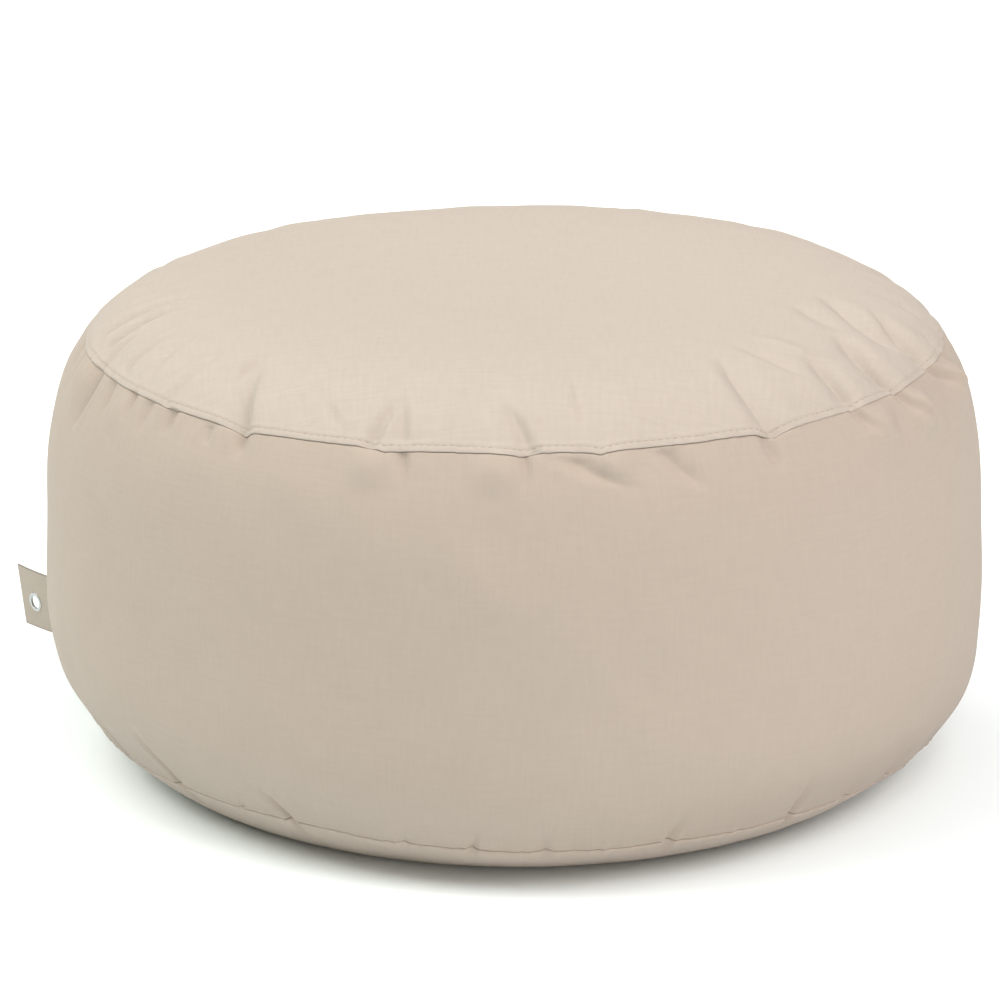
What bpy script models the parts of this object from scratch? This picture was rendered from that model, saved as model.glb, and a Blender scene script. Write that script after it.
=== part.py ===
"""Round bean bag footstool: a filled drum of cloth sewn from three panels.

A crowned top panel and a shallow base panel are sewn to one side band.  Each
panel is a solid that carries its own share of the filling, so the three of
them together are the filled footstool.  A folded tab with a metal eyelet is
sewn to the side.

Frame: metres, +Z up, origin at the centre of the flat spot that it rests on.
Azimuths are in degrees from the front (-Y), positive towards the right (+X).
An "arc" is a distance along the bag's outside, up from the top seam when it
is positive and down from it when it is negative.
"""

import functools
import math
from collections import namedtuple

import bmesh
import bpy
import numpy as np
from mathutils import Vector

MM = 0.001

# ---------------------------------------------------------------- bag sizes
DIAMETER = 0.900
HEIGHT = 0.459
WIDEST_HEIGHT = 0.173
TOP_SEAM_RADIUS = 0.407
TOP_SEAM_HEIGHT = 0.410
BASE_SEAM_RADIUS = 0.4145
BASE_SEAM_HEIGHT = 0.042
CONTACT_RADIUS = 0.338

# Tangent handles of the outline's four stretches, as (radius, height).
CROWN_HANDLE = (0.198, HEIGHT)
CROWN_SHOULDER_HANDLE = (0.355, 0.481)
BAND_SHOULDER_HANDLE = (0.425, 0.386)
BAND_UPPER_HANDLE = (DIAMETER / 2, 0.378)
BAND_LOWER_HANDLE = (DIAMETER / 2, 0.088)
BAND_TURN_HANDLE = (0.4353, 0.0845)
BASE_TURN_HANDLE = (0.4080, 0.030)
CONTACT_HANDLE = (0.358, 0.0)

# ---------------------------------------------------------------- sewing
PANEL_GAP = 0.4 * MM
LAP_HEIGHT = 1.5 * MM
LAP_WIDTH = 6.5 * MM
LAP_FADE = 7.0 * MM
SEAM_SPREAD = 2.4
SEAM_TILT = 1.4 * MM
SEAM_LIFT = 1.2 * MM

# Broad places where the filling pushes out or leaves the cloth tucked in.
# Angles are in degrees, arcs and pushes in millimetres.
Bulge = namedtuple("Bulge", "azimuth spread arc arc_spread push")
BULGES = (
    Bulge(-52.0, 62, -410, 150, -10.0),
    Bulge(58.0, 45, -410, 80, -3.0),
    Bulge(80.0, 40, -348, 60, 3.5),
    Bulge(88.0, 60, -170, 190, -2.8),
    Bulge(-88.0, 60, -60, 120, 1.0),
    Bulge(-130.0, 40, 150, 110, -4.0),
)

# Slow swells of the side, as (waves around the bag, height, turn).
SWELLS = ((3, 1.2 * MM, 20.0), (5, 0.9 * MM, 75.0), (8, 0.6 * MM, 140.0))

# ---------------------------------------------------------------- mesh rows
COLUMNS = 144
TOP_ROWS = (0.0, 6.0, 14.0, 26.0, 42.0, 62.0, 86.0, 118.0, 160.0, 210.0, 270.0, 340.0)
BAND_ROWS = (0.0, 7.0, 17.0, 30.0, 47.0, 70.0, 102.0, 145.0, 195.0, 245.0, 288.0,
             318.0, 338.0, 354.0, 367.0, 378.0)
BASE_ROWS = (0.0, 7.0, 16.0, 27.0, 40.0, 56.0)
PROFILE_STEPS = 160

# ---------------------------------------------------------------- puckers
# A pucker draws the top seam in and down, and runs up the top panel and down
# the band from there.  Distances are in millimetres, leans in degrees of
# azimuth over the pucker's whole length.
Pucker = namedtuple("Pucker", "azimuth drop depth width top_reach top_lean band_reach band_lean")
PUCKERS = (
    Pucker(-79.8, 2.0, 2.6, 11, 100, -5.0, 85, 5.0),
    Pucker(-72.0, 0.6, 2.0, 12, 105, -5.0, 60, 1.0),
    Pucker(-61.0, 0.5, 2.2, 11, 70, -3.0, 62, 0.0),
    Pucker(-50.5, 1.8, 2.6, 9, 34, -1.0, 34, 1.0),
    Pucker(-35.3, 5.0, 5.5, 10, 72, -5.0, 34, 1.5),
    Pucker(-16.0, 4.6, 5.0, 11, 74, -0.6, 58, 2.5),
    Pucker(0.3, 3.4, 4.4, 10, 50, -2.0, 46, -0.3),
    Pucker(10.4, 2.6, 2.6, 9, 28, 0.5, 24, 2.5),
    Pucker(33.0, 4.6, 4.6, 12, 105, 1.5, 36, 1.0),
    Pucker(47.6, 0.9, 3.4, 12, 84, 0.5, 40, 4.0),
    Pucker(56.9, 2.6, 4.2, 12, 88, 1.0, 52, 5.0),
    Pucker(68.0, 0.8, 4.4, 12, 104, 8.0, 52, 9.0),
    Pucker(79.0, 0.6, 3.2, 10, 70, 6.0, 46, -3.0),
    Pucker(93.0, 2.4, 3.0, 11, 64, 3.0, 40, 2.0),
    Pucker(106.0, 3.6, 4.0, 11, 82, -2.0, 46, 1.0),
    Pucker(123.5, 1.8, 2.6, 10, 46, 2.0, 34, -1.0),
    Pucker(137.0, 4.2, 4.6, 11, 78, 3.0, 52, -2.0),
    Pucker(155.0, 2.6, 3.2, 10, 54, -1.0, 38, 1.0),
    Pucker(172.0, 4.4, 4.8, 11, 76, -3.0, 50, 2.0),
    Pucker(-175.0, 1.2, 2.2, 9, 40, 1.0, 30, 0.0),
    Pucker(-160.0, 3.4, 3.8, 11, 70, 2.0, 44, -1.0),
    Pucker(-143.0, 4.0, 4.2, 11, 84, -2.0, 48, 2.0),
    Pucker(-128.0, 1.8, 2.6, 10, 52, -3.0, 36, 1.0),
    Pucker(-113.0, 3.8, 4.2, 11, 80, 3.0, 50, -2.0),
    Pucker(-95.0, 2.2, 3.0, 11, 88, -2.0, 44, 0.0),
)

# Soft folds that start away from the seam.  A positive height is a ridge.
Fold = namedtuple("Fold", "azimuth_a arc_a azimuth_b arc_b height width")
FOLDS = (
    Fold(-74.0, 22, -79.0, 130, 1.6, 9),
    Fold(-67.0, 16, -72.0, 110, 1.4, 10),
    Fold(62.5, 14, 67.0, 112, 2.2, 12),
    Fold(52.0, 12, 53.5, 92, 1.8, 12),
    Fold(40.5, 16, 41.0, 84, 1.4, 13),
    Fold(66.8, 34, 77.0, 127, -1.8, 9),
    Fold(6.5, -4, 13.5, -27, -2.4, 8),
    Fold(17.3, 0, 19.8, -18, -1.8, 7),
    Fold(-68.5, -10, -70.0, -92, 1.8, 12),
    Fold(73.5, -6, 76.2, -42, 2.2, 10),
    Fold(113.0, 14, 116.0, 96, 1.8, 12),
    Fold(146.0, 12, 144.0, 82, 1.6, 12),
    Fold(-150.0, 14, -153.0, 92, 1.8, 12),
    Fold(-104.0, 16, -108.0, 98, 1.6, 11),
)

# Creases where the band turns under and is gathered at the base seam.
Crease = namedtuple("Crease", "azimuth lift depth width reach lean base_reach")
CREASES = (
    Crease(-74.0, 1.0, 2.2, 10, 40, 3.0, 26),
    Crease(-62.5, 1.5, 3.4, 9, 52, -2.0, 34),
    Crease(-49.0, 2.5, 5.2, 10, 74, -3.5, 44),
    Crease(-38.0, 1.0, 2.4, 9, 30, 2.0, 28),
    Crease(-29.5, 2.0, 4.8, 10, 44, -2.5, 50),
    Crease(-14.0, 1.0, 2.4, 9, 26, 1.0, 24),
    Crease(-5.5, 2.5, 3.2, 8, 30, 1.0, 26),
    Crease(3.7, 1.5, 3.0, 10, 34, -1.0, 30),
    Crease(19.0, 2.0, 3.6, 9, 46, 2.0, 30),
    Crease(36.8, 2.5, 4.4, 10, 68, 1.0, 38),
    Crease(47.0, 1.0, 2.2, 9, 26, 2.0, 26),
    Crease(56.0, 2.0, 4.2, 10, 52, 3.5, 38),
    Crease(70.0, 1.5, 3.0, 10, 40, 3.0, 30),
    Crease(86.0, 2.0, 3.8, 10, 56, -2.0, 36),
    Crease(101.0, 1.0, 2.6, 9, 34, 1.5, 26),
    Crease(118.0, 2.2, 4.2, 10, 60, -2.0, 38),
    Crease(134.0, 1.5, 3.0, 9, 42, 2.0, 30),
    Crease(151.0, 2.2, 4.4, 10, 62, 2.0, 40),
    Crease(168.0, 1.5, 3.0, 10, 40, -2.0, 30),
    Crease(-176.0, 2.2, 4.0, 10, 58, 2.0, 38),
    Crease(-160.0, 1.0, 2.6, 9, 34, -1.0, 26),
    Crease(-145.0, 2.2, 4.2, 10, 60, 2.0, 38),
    Crease(-129.0, 1.5, 3.0, 9, 40, -2.0, 30),
    Crease(-110.0, 2.2, 4.2, 10, 60, 2.5, 38),
    Crease(-90.0, 1.5, 3.2, 10, 44, 1.5, 30),
)

# ---------------------------------------------------------------- tab sizes
CLOTH = 1.1 * MM
TAB_LAYER_GAP = 0.5 * MM
TAB_WIDTH = 60.0 * MM
TAB_LENGTH = 62.0 * MM
TAB_ROOT_AZIMUTH = -95.0
TAB_ROOT_GAP = 0.6 * MM
TAB_SWEEP = 49.0
TAB_SWEEP_GAIN = -4.0
TAB_BOW = 1.4 * MM
TAB_TOP_HEIGHT = 0.1475
TAB_ROOT_TRIES = 12
TAB_STEPS_ALONG = 10
TAB_STEPS_DOWN = 8

# ---------------------------------------------------------------- eyelet
EYELET_HOLE_RADIUS = 6.2 * MM
EYELET_BARREL_RADIUS = 6.7 * MM
EYELET_FLANGE_RADIUS = 9.8 * MM
EYELET_FLANGE = 0.7 * MM
EYELET_CLEARANCE = 0.35 * MM
EYELET_FROM_FOLD = 23.0 * MM
EYELET_DOWN = 0.55
EYELET_SEGMENTS = 32

# ---------------------------------------------------------------- colours
Finish = namedtuple("Finish", "name colour roughness metallic")
TOP_CLOTH = Finish("top_cloth", (0.74, 0.64, 0.53), 0.85, 0.0)
BAND_CLOTH = Finish("band_cloth", (0.60, 0.50, 0.40), 0.85, 0.0)
BASE_CLOTH = Finish("base_cloth", (0.58, 0.48, 0.39), 0.85, 0.0)
TAB_CLOTH = Finish("tab_cloth", (0.52, 0.43, 0.33), 0.85, 0.0)
EYELET_METAL = Finish("eyelet_metal", (0.80, 0.80, 0.80), 0.25, 1.0)


# ================================================================ outline
def bezier(start, handle_a, handle_b, end):
    """Return points of one cubic stretch as an array of (radius, height)."""
    t = np.linspace(0.0, 1.0, PROFILE_STEPS)[:, None]
    a, b, c, d = (np.array(p) for p in (start, handle_a, handle_b, end))
    return a * (1 - t) ** 3 + 3 * b * t * (1 - t) ** 2 + 3 * c * t ** 2 * (1 - t) + d * t ** 3


class Outline:
    """The bag's plain outline, read by arc from the top seam."""

    def __init__(self):
        top_seam = (TOP_SEAM_RADIUS, TOP_SEAM_HEIGHT)
        widest = (DIAMETER / 2, WIDEST_HEIGHT)
        base_seam = (BASE_SEAM_RADIUS, BASE_SEAM_HEIGHT)
        stretches = [
            bezier((0.0, HEIGHT), CROWN_HANDLE, CROWN_SHOULDER_HANDLE, top_seam),
            bezier(top_seam, BAND_SHOULDER_HANDLE, BAND_UPPER_HANDLE, widest),
            bezier(widest, BAND_LOWER_HANDLE, BAND_TURN_HANDLE, base_seam),
            bezier(base_seam, BASE_TURN_HANDLE, CONTACT_HANDLE, (CONTACT_RADIUS, 0.0)),
        ]
        points = np.vstack([stretches[0]] + [s[1:] for s in stretches[1:]])
        travelled = np.concatenate([[0.0], np.cumsum(np.linalg.norm(np.diff(points, axis=0), axis=1))])
        seam_index = PROFILE_STEPS - 1
        base_index = 3 * (PROFILE_STEPS - 1)
        self.radius = points[::-1, 0]
        self.height = points[::-1, 1]
        self.arc = (travelled[seam_index] - travelled)[::-1]
        self.crown_length = float(self.arc[-1])
        self.band_length = float(travelled[base_index] - travelled[seam_index])
        self.base_length = float(travelled[-1] - travelled[base_index])

    def at(self, arc):
        """Return (radius, height) at an arc."""
        return (float(np.interp(arc, self.arc, self.radius)), float(np.interp(arc, self.arc, self.height)))

    def normal(self, arc):
        """Return the outward normal at an arc as (radial part, upward part)."""
        step = 2 * MM
        low = self.at(max(arc - step, float(self.arc[0])))
        high = self.at(min(arc + step, self.crown_length))
        run, rise = high[0] - low[0], high[1] - low[1]
        size = math.hypot(run, rise)
        return rise / size, -run / size


OUTLINE = Outline()


# ================================================================ relief
def turn_between(azimuth, centre):
    """Return the signed angle in degrees from centre to azimuth."""
    return (azimuth - centre + 180.0) % 360.0 - 180.0


def ease(t):
    """Return a smooth rise from 0 to 1."""
    t = min(max(t, 0.0), 1.0)
    return t * t * (3.0 - 2.0 * t)


def trough(offset, width):
    """Return a soft trough with raised shoulders, 1 deep at its middle."""
    u = offset / width
    return (1.0 - 0.8 * u * u) * math.exp(-u * u)


def across(azimuth, centre, radius):
    """Return the distance across the bag's surface from a line at centre."""
    return math.radians(turn_between(azimuth, centre)) * radius


def top_seam_arc(azimuth):
    """Return the arc at which the wavy top seam runs."""
    arc = SEAM_LIFT + SEAM_TILT * math.sin(math.radians(azimuth))
    for p in PUCKERS:
        arc -= p.drop * MM * math.exp(-abs(turn_between(azimuth, p.azimuth)) / SEAM_SPREAD)
    return arc


def base_seam_arc(azimuth):
    """Return the arc at which the wavy base seam runs."""
    arc = -OUTLINE.band_length
    for c in CREASES:
        arc += c.lift * MM * math.exp(-abs(turn_between(azimuth, c.azimuth)) / SEAM_SPREAD)
    return arc


def pucker_relief(azimuth, arc, radius):
    """Return how far the puckers draw the surface in at a point."""
    depth = 0.0
    for p in PUCKERS:
        reach = (p.top_reach if arc >= 0 else p.band_reach) * MM
        along = abs(arc) / reach
        if along >= 1.0:
            continue
        lean = p.top_lean if arc >= 0 else p.band_lean
        offset = across(azimuth, p.azimuth + lean * along, radius)
        width = p.width * MM * (0.75 + 0.7 * along)
        depth -= p.depth * MM * (1.0 - ease(along)) * trough(offset, width)
    return depth


def fold_relief(azimuth, arc, radius):
    """Return the height of the soft folds at a point."""
    height = 0.0
    for f in FOLDS:
        along = (arc / MM - f.arc_a) / (f.arc_b - f.arc_a)
        if not 0.0 < along < 1.0:
            continue
        centre = f.azimuth_a + (f.azimuth_b - f.azimuth_a) * along
        offset = across(azimuth, centre, radius) / (f.width * MM)
        height += f.height * MM * math.sin(math.pi * along) * math.exp(-offset * offset)
    return height


def crease_relief(azimuth, below, radius):
    """Return how far the base creases draw the surface in.

    below is the distance past the base seam, negative up on the band.
    """
    depth = 0.0
    for c in CREASES:
        reach = (c.base_reach if below >= 0 else c.reach) * MM
        along = abs(below) / reach
        if along >= 1.0:
            continue
        centre = c.azimuth + (0.0 if below >= 0 else c.lean * along)
        depth -= c.depth * MM * (1.0 - ease(along)) * trough(across(azimuth, centre, radius), c.width * MM)
    return depth


def bulge_relief(azimuth, arc):
    """Return the height of the broad bulges and tucks at a point."""
    height = 0.0
    for b in BULGES:
        across_share = abs(turn_between(azimuth, b.azimuth)) / b.spread
        along_share = abs(arc / MM - b.arc) / b.arc_spread
        height += b.push * MM * (1.0 - ease(across_share)) * (1.0 - ease(along_share))
    return height


def swell_relief(azimuth, arc):
    """Return the slow swells of the side and of the crown's edge."""
    fade = ease(1.0 - arc / 0.25) if arc > 0 else 1.0
    return fade * sum(size * math.sin(math.radians(waves * azimuth + turn)) for waves, size, turn in SWELLS)


def surface_point(azimuth, arc, extra=0.0):
    """Return the point of the bag's outside at an azimuth and an arc."""
    radius, height = OUTLINE.at(arc)
    radial, upward = OUTLINE.normal(arc)
    below = -OUTLINE.band_length - arc
    to_contact = 1.0 - ease(below / OUTLINE.base_length)
    push = pucker_relief(azimuth, arc, radius) + fold_relief(azimuth, arc, radius)
    push += crease_relief(azimuth, below, radius) + bulge_relief(azimuth, arc) + swell_relief(azimuth, arc)
    push = push * to_contact + extra
    radius += radial * push
    height = max(height + upward * push, 0.0)
    angle = math.radians(azimuth)
    return Vector((radius * math.sin(angle), -radius * math.cos(angle), height))


def lap_relief(distance):
    """Return how far the lapped edge of the top panel stands proud."""
    return LAP_HEIGHT * (1.0 - ease((distance - LAP_WIDTH) / LAP_FADE))


# ================================================================ meshes
def column_azimuths(rows):
    """Return even azimuths, the nearest of them moved onto each crease line."""
    step = 360.0 / COLUMNS
    azimuths = [-180.0 + step * i for i in range(COLUMNS)]
    for row in rows:
        nearest = min(range(COLUMNS), key=lambda i: abs(turn_between(azimuths[i], row.azimuth)))
        azimuths[nearest] = row.azimuth
    return sorted(azimuths)


def finish_material(finish):
    """Return a Principled material for a finish."""
    material = bpy.data.materials.new(finish.name)
    material.use_nodes = True
    shader = material.node_tree.nodes["Principled BSDF"]
    shader.inputs["Base Color"].default_value = (*finish.colour, 1.0)
    shader.inputs["Roughness"].default_value = finish.roughness
    shader.inputs["Metallic"].default_value = finish.metallic
    material.diffuse_color = (*finish.colour, 1.0)
    return material


def add_object(name, bm, finish):
    """Turn a bmesh into a smooth-shaded object with its own material."""
    bmesh.ops.recalc_face_normals(bm, faces=bm.faces)
    mesh = bpy.data.meshes.new(name)
    bm.to_mesh(mesh)
    bm.free()
    mesh.shade_smooth()
    mesh.set_sharp_from_angle(angle=math.radians(40.0))
    obj = bpy.data.objects.new(name, mesh)
    mesh.materials.append(finish_material(finish))
    bpy.context.scene.collection.objects.link(obj)
    return obj


def lofted_solid(name, rings, start_centre, end_centre, finish):
    """Close a stack of rings with a fan at each end, as one solid."""
    bm = bmesh.new()
    loops = [[bm.verts.new(point) for point in ring] for ring in rings]
    for lower, upper in zip(loops, loops[1:]):
        for i in range(len(lower)):
            j = (i + 1) % len(lower)
            bm.faces.new((lower[i], lower[j], upper[j], upper[i]))
    for loop, centre in ((loops[0], start_centre), (loops[-1], end_centre)):
        hub = bm.verts.new(centre)
        for i in range(len(loop)):
            bm.faces.new((hub, loop[i], loop[(i + 1) % len(loop)]))
    return add_object(name, bm, finish)


def build_top_panel():
    """Build the crowned top panel, whose lapped edge stands over the band."""
    azimuths = column_azimuths(PUCKERS)
    rings = []
    for row in TOP_ROWS:
        distance = row * MM
        share = distance / OUTLINE.crown_length
        ring = []
        for azimuth in azimuths:
            arc = top_seam_arc(azimuth) * (1.0 - share) + distance
            ring.append(surface_point(azimuth, arc, lap_relief(distance)))
        rings.append(ring)
    rings[0] = [point + Vector((0.0, 0.0, PANEL_GAP)) for point in rings[0]]
    underside = Vector((0.0, 0.0, TOP_SEAM_HEIGHT + PANEL_GAP))
    crown = Vector((0.0, 0.0, HEIGHT))
    return lofted_solid("top_panel", rings, underside, crown, TOP_CLOTH)


def build_side_band():
    """Build the side band with its share of the filling."""
    columns = list(zip(column_azimuths(PUCKERS), column_azimuths(CREASES)))
    rings = []
    for row in BAND_ROWS + (OUTLINE.band_length / MM,):
        distance = row * MM
        share = distance / OUTLINE.band_length
        ring = []
        for upper, lower in columns:
            azimuth = upper + (lower - upper) * share
            low_wave = base_seam_arc(azimuth) + OUTLINE.band_length
            arc = top_seam_arc(azimuth) * (1.0 - share) + low_wave * share - distance
            ring.append(surface_point(azimuth, arc))
        rings.append(ring)
    upper_centre = Vector((0.0, 0.0, TOP_SEAM_HEIGHT))
    lower_centre = Vector((0.0, 0.0, BASE_SEAM_HEIGHT))
    return lofted_solid("side_band", rings, upper_centre, lower_centre, BAND_CLOTH)


def build_base_panel():
    """Build the base panel, which turns under to the flat contact spot."""
    azimuths = column_azimuths(CREASES)
    rings = []
    for row in BASE_ROWS + (OUTLINE.base_length / MM,):
        distance = row * MM
        share = distance / OUTLINE.base_length
        ring = []
        for azimuth in azimuths:
            wave = (base_seam_arc(azimuth) + OUTLINE.band_length) * (1.0 - share)
            ring.append(surface_point(azimuth, wave - OUTLINE.band_length - distance))
        rings.append(ring)
    rings[0] = [point - Vector((0.0, 0.0, PANEL_GAP)) for point in rings[0]]
    upper_centre = Vector((0.0, 0.0, BASE_SEAM_HEIGHT - PANEL_GAP))
    return lofted_solid("base_panel", rings, upper_centre, Vector((0.0, 0.0, 0.0)), BASE_CLOTH)


# ================================================================ tab
@functools.cache
def tab_root(down):
    """Return the middle of the tab's root, just off the band's surface."""
    height = TAB_TOP_HEIGHT - down
    arc = -OUTLINE.band_length / 2
    for _ in range(TAB_ROOT_TRIES):
        point = surface_point(TAB_ROOT_AZIMUTH, arc)
        arc += height - point.z
    outward = Vector((point.x, point.y, 0.0)).normalized()
    return point + outward * (TAB_ROOT_GAP + CLOTH + TAB_LAYER_GAP)


def tab_point(along, down, off):
    """Return a point of the tab.

    along is the distance from its root to its fold, down the distance from
    its top edge, and off the distance in front of its middle plane.
    """
    share_down = down / TAB_WIDTH
    share_along = along / TAB_LENGTH
    straight = tab_root(0.0).lerp(tab_root(TAB_WIDTH), share_down)
    start = tab_root(down).lerp(straight, share_along)
    sweep = math.radians(TAB_SWEEP + TAB_SWEEP_GAIN * share_down)
    run = Vector((-math.cos(sweep), math.sin(sweep), 0.0))
    front = Vector((-math.sin(sweep), -math.cos(sweep), 0.0))
    bow = TAB_BOW * math.sin(math.pi * share_along)
    return start + run * along + front * (off + bow)


def tab_section():
    """Return the folded strip's closed section as (along, off) pairs."""
    half_gap = TAB_LAYER_GAP / 2
    outer = half_gap + CLOTH
    stations = [TAB_LENGTH * i / TAB_STEPS_ALONG for i in range(TAB_STEPS_ALONG)]
    fold_start = TAB_LENGTH - outer
    stations = [s for s in stations if s < fold_start - CLOTH] + [fold_start]
    turns = [math.radians(a) for a in (67.5, 22.5, -22.5, -67.5)]
    front_out = [(s, outer) for s in stations]
    fold_out = [(fold_start + outer * math.cos(a), outer * math.sin(a)) for a in turns]
    back_out = [(s, -outer) for s in reversed(stations)]
    back_in = [(s, -half_gap) for s in stations]
    fold_in = [(fold_start + half_gap * math.cos(a), half_gap * math.sin(a)) for a in reversed(turns)]
    front_in = [(s, half_gap) for s in reversed(stations)]
    return front_out + fold_out + back_out, back_in + fold_in + front_in


def build_tab():
    """Build the folded tab as one U-shaped strip with a hole for the eyelet."""
    outer, inner = tab_section()
    inner = list(reversed(inner))
    bm = bmesh.new()
    slices = []
    for step in range(TAB_STEPS_DOWN + 1):
        down = TAB_WIDTH * step / TAB_STEPS_DOWN
        outer_loop = [bm.verts.new(tab_point(along, down, off)) for along, off in outer]
        inner_loop = [bm.verts.new(tab_point(along, down, off)) for along, off in inner]
        slices.append((outer_loop, inner_loop))
    last = len(outer) - 1
    for (outer_a, inner_a), (outer_b, inner_b) in zip(slices, slices[1:]):
        for i in range(last):
            bm.faces.new((outer_a[i], outer_a[i + 1], outer_b[i + 1], outer_b[i]))
            bm.faces.new((inner_a[i + 1], inner_a[i], inner_b[i], inner_b[i + 1]))
        bm.faces.new((inner_a[0], outer_a[0], outer_b[0], inner_b[0]))
        bm.faces.new((outer_a[last], inner_a[last], inner_b[last], outer_b[last]))
    for outer_loop, inner_loop in (slices[0], slices[-1]):
        for i in range(last):
            bm.faces.new((outer_loop[i], inner_loop[i], inner_loop[i + 1], outer_loop[i + 1]))
    tab = add_object("tab", bm, TAB_CLOTH)
    cut = tab.modifiers.new("eyelet_hole", "BOOLEAN")
    cut.operation = "DIFFERENCE"
    cut.solver = "EXACT"
    cut.object = build_hole_cutter()
    return tab


def eyelet_frame():
    """Return the eyelet's centre and its axis, which points to the front."""
    along = TAB_LENGTH - EYELET_FROM_FOLD
    down = TAB_WIDTH * EYELET_DOWN
    centre = tab_point(along, down, 0.0)
    side_step = tab_point(along + MM, down, 0.0) - tab_point(along - MM, down, 0.0)
    down_step = tab_point(along, down + MM, 0.0) - tab_point(along, down - MM, 0.0)
    axis = down_step.cross(side_step).normalized()
    return centre, axis


def turned_ring(name, section, finish):
    """Turn a closed section of (radius, off) pairs around the eyelet's axis."""
    centre, axis = eyelet_frame()
    across_axis = axis.cross(Vector((0.0, 0.0, 1.0))).normalized()
    up_axis = across_axis.cross(axis)
    bm = bmesh.new()
    loops = []
    for i in range(EYELET_SEGMENTS):
        angle = 2 * math.pi * i / EYELET_SEGMENTS
        spoke = across_axis * math.cos(angle) + up_axis * math.sin(angle)
        loops.append([bm.verts.new(centre + spoke * radius + axis * off) for radius, off in section])
    for i, loop in enumerate(loops):
        following = loops[(i + 1) % EYELET_SEGMENTS]
        for j in range(len(section)):
            k = (j + 1) % len(section)
            bm.faces.new((loop[j], loop[k], following[k], following[j]))
    return add_object(name, bm, finish)


def build_hole_cutter():
    """Build the cutter for the tab's hole, clear of the eyelet's barrel."""
    centre, axis = eyelet_frame()
    bm = bmesh.new()
    bmesh.ops.create_cone(bm, cap_ends=True, segments=EYELET_SEGMENTS,
                          radius1=EYELET_BARREL_RADIUS + EYELET_CLEARANCE,
                          radius2=EYELET_BARREL_RADIUS + EYELET_CLEARANCE, depth=20 * MM)
    cutter = add_object("eyelet_hole_cutter", bm, TAB_CLOTH)
    cutter.rotation_mode = "QUATERNION"
    cutter.rotation_quaternion = axis.to_track_quat("Z", "Y")
    cutter.location = centre
    cutter.hide_render = True
    cutter.display_type = "WIRE"
    return cutter


def build_eyelet():
    """Build the eyelet: a barrel with a rounded flange on each face."""
    face = TAB_LAYER_GAP / 2 + CLOTH + EYELET_CLEARANCE
    top = face + EYELET_FLANGE
    hole, barrel, rim = EYELET_HOLE_RADIUS, EYELET_BARREL_RADIUS, EYELET_FLANGE_RADIUS
    front = [
        (hole, 0.0),
        (hole, face),
        (hole + 0.4 * MM, top - 0.1 * MM),
        (hole + 1.2 * MM, top + 0.2 * MM),
        (rim - 1.0 * MM, top),
        (rim, face + 0.3 * MM),
        (rim, face),
        (barrel, face),
    ]
    back = [(radius, -off) for radius, off in reversed(front[1:])]
    return turned_ring("eyelet", front + back, EYELET_METAL)


# ================================================================ main
def clear_scene():
    """Remove every object that the file starts with."""
    for obj in list(bpy.data.objects):
        bpy.data.objects.remove(obj, do_unlink=True)


def main():
    """Build the footstool's pieces."""
    clear_scene()
    build_top_panel()
    build_side_band()
    build_base_panel()
    build_tab()
    build_eyelet()


main()
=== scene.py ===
"""Looks of the round bean bag footstool: cloth, seams, stitches, tab and eyelet.

The footstool is a filled drum sewn from a crowned top panel, a side band and a
base panel.  Every panel is dressed here with its folds, creases and seam
edges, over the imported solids.  Sizes are metres unless a name says
millimetres.  Azimuths are degrees from the front (-Y), positive towards the
right (+X).  An "arc" is a distance along the outside, up from the top seam
when positive and down from it when negative.
"""

import logging
import math
from collections.abc import Iterator
from dataclasses import dataclass, field
from enum import Enum
from functools import partial
from typing import NamedTuple

import bmesh
import bpy
import numpy as np
from bpy.types import GeometryNodeTree, ID, Material, Mesh, Node, NodeSocket, NodeTree, Object
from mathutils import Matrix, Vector

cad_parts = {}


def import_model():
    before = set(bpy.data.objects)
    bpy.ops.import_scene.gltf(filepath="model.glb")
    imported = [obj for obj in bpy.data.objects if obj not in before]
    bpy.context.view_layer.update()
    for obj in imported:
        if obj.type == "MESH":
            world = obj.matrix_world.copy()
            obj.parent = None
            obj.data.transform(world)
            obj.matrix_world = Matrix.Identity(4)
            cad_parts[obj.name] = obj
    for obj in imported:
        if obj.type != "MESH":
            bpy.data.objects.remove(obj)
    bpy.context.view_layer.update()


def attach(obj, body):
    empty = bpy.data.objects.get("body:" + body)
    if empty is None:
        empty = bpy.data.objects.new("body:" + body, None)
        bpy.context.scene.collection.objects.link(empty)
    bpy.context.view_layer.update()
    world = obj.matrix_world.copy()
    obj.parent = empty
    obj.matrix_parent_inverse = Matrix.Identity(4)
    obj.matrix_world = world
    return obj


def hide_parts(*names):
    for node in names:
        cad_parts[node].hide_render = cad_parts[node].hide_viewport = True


LOG = logging.getLogger("footstool")
MM = 0.001
BODY = "root"

# A fold moves no cloth farther than this from its middle, in degrees, and its
# walls narrow by this share along it.  A wall rises with this power to a soft
# bank, whose height and spread are shares of the fold's depth and wall.
FOLD_WINDOW = 30.0
FOLD_TAPER = 0.28
WALL_CURVE = 2.0
BANK_HEIGHT = 0.10
BANK_SPREAD = 0.5


# ================================================================ tables
class SeamKink(NamedTuple):
    """A place where the top seam is drawn down by drop (mm).

    left and right are how far the kink reaches on each side, in degrees.
    """

    azimuth: float
    drop: float
    left: float
    right: float


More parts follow.
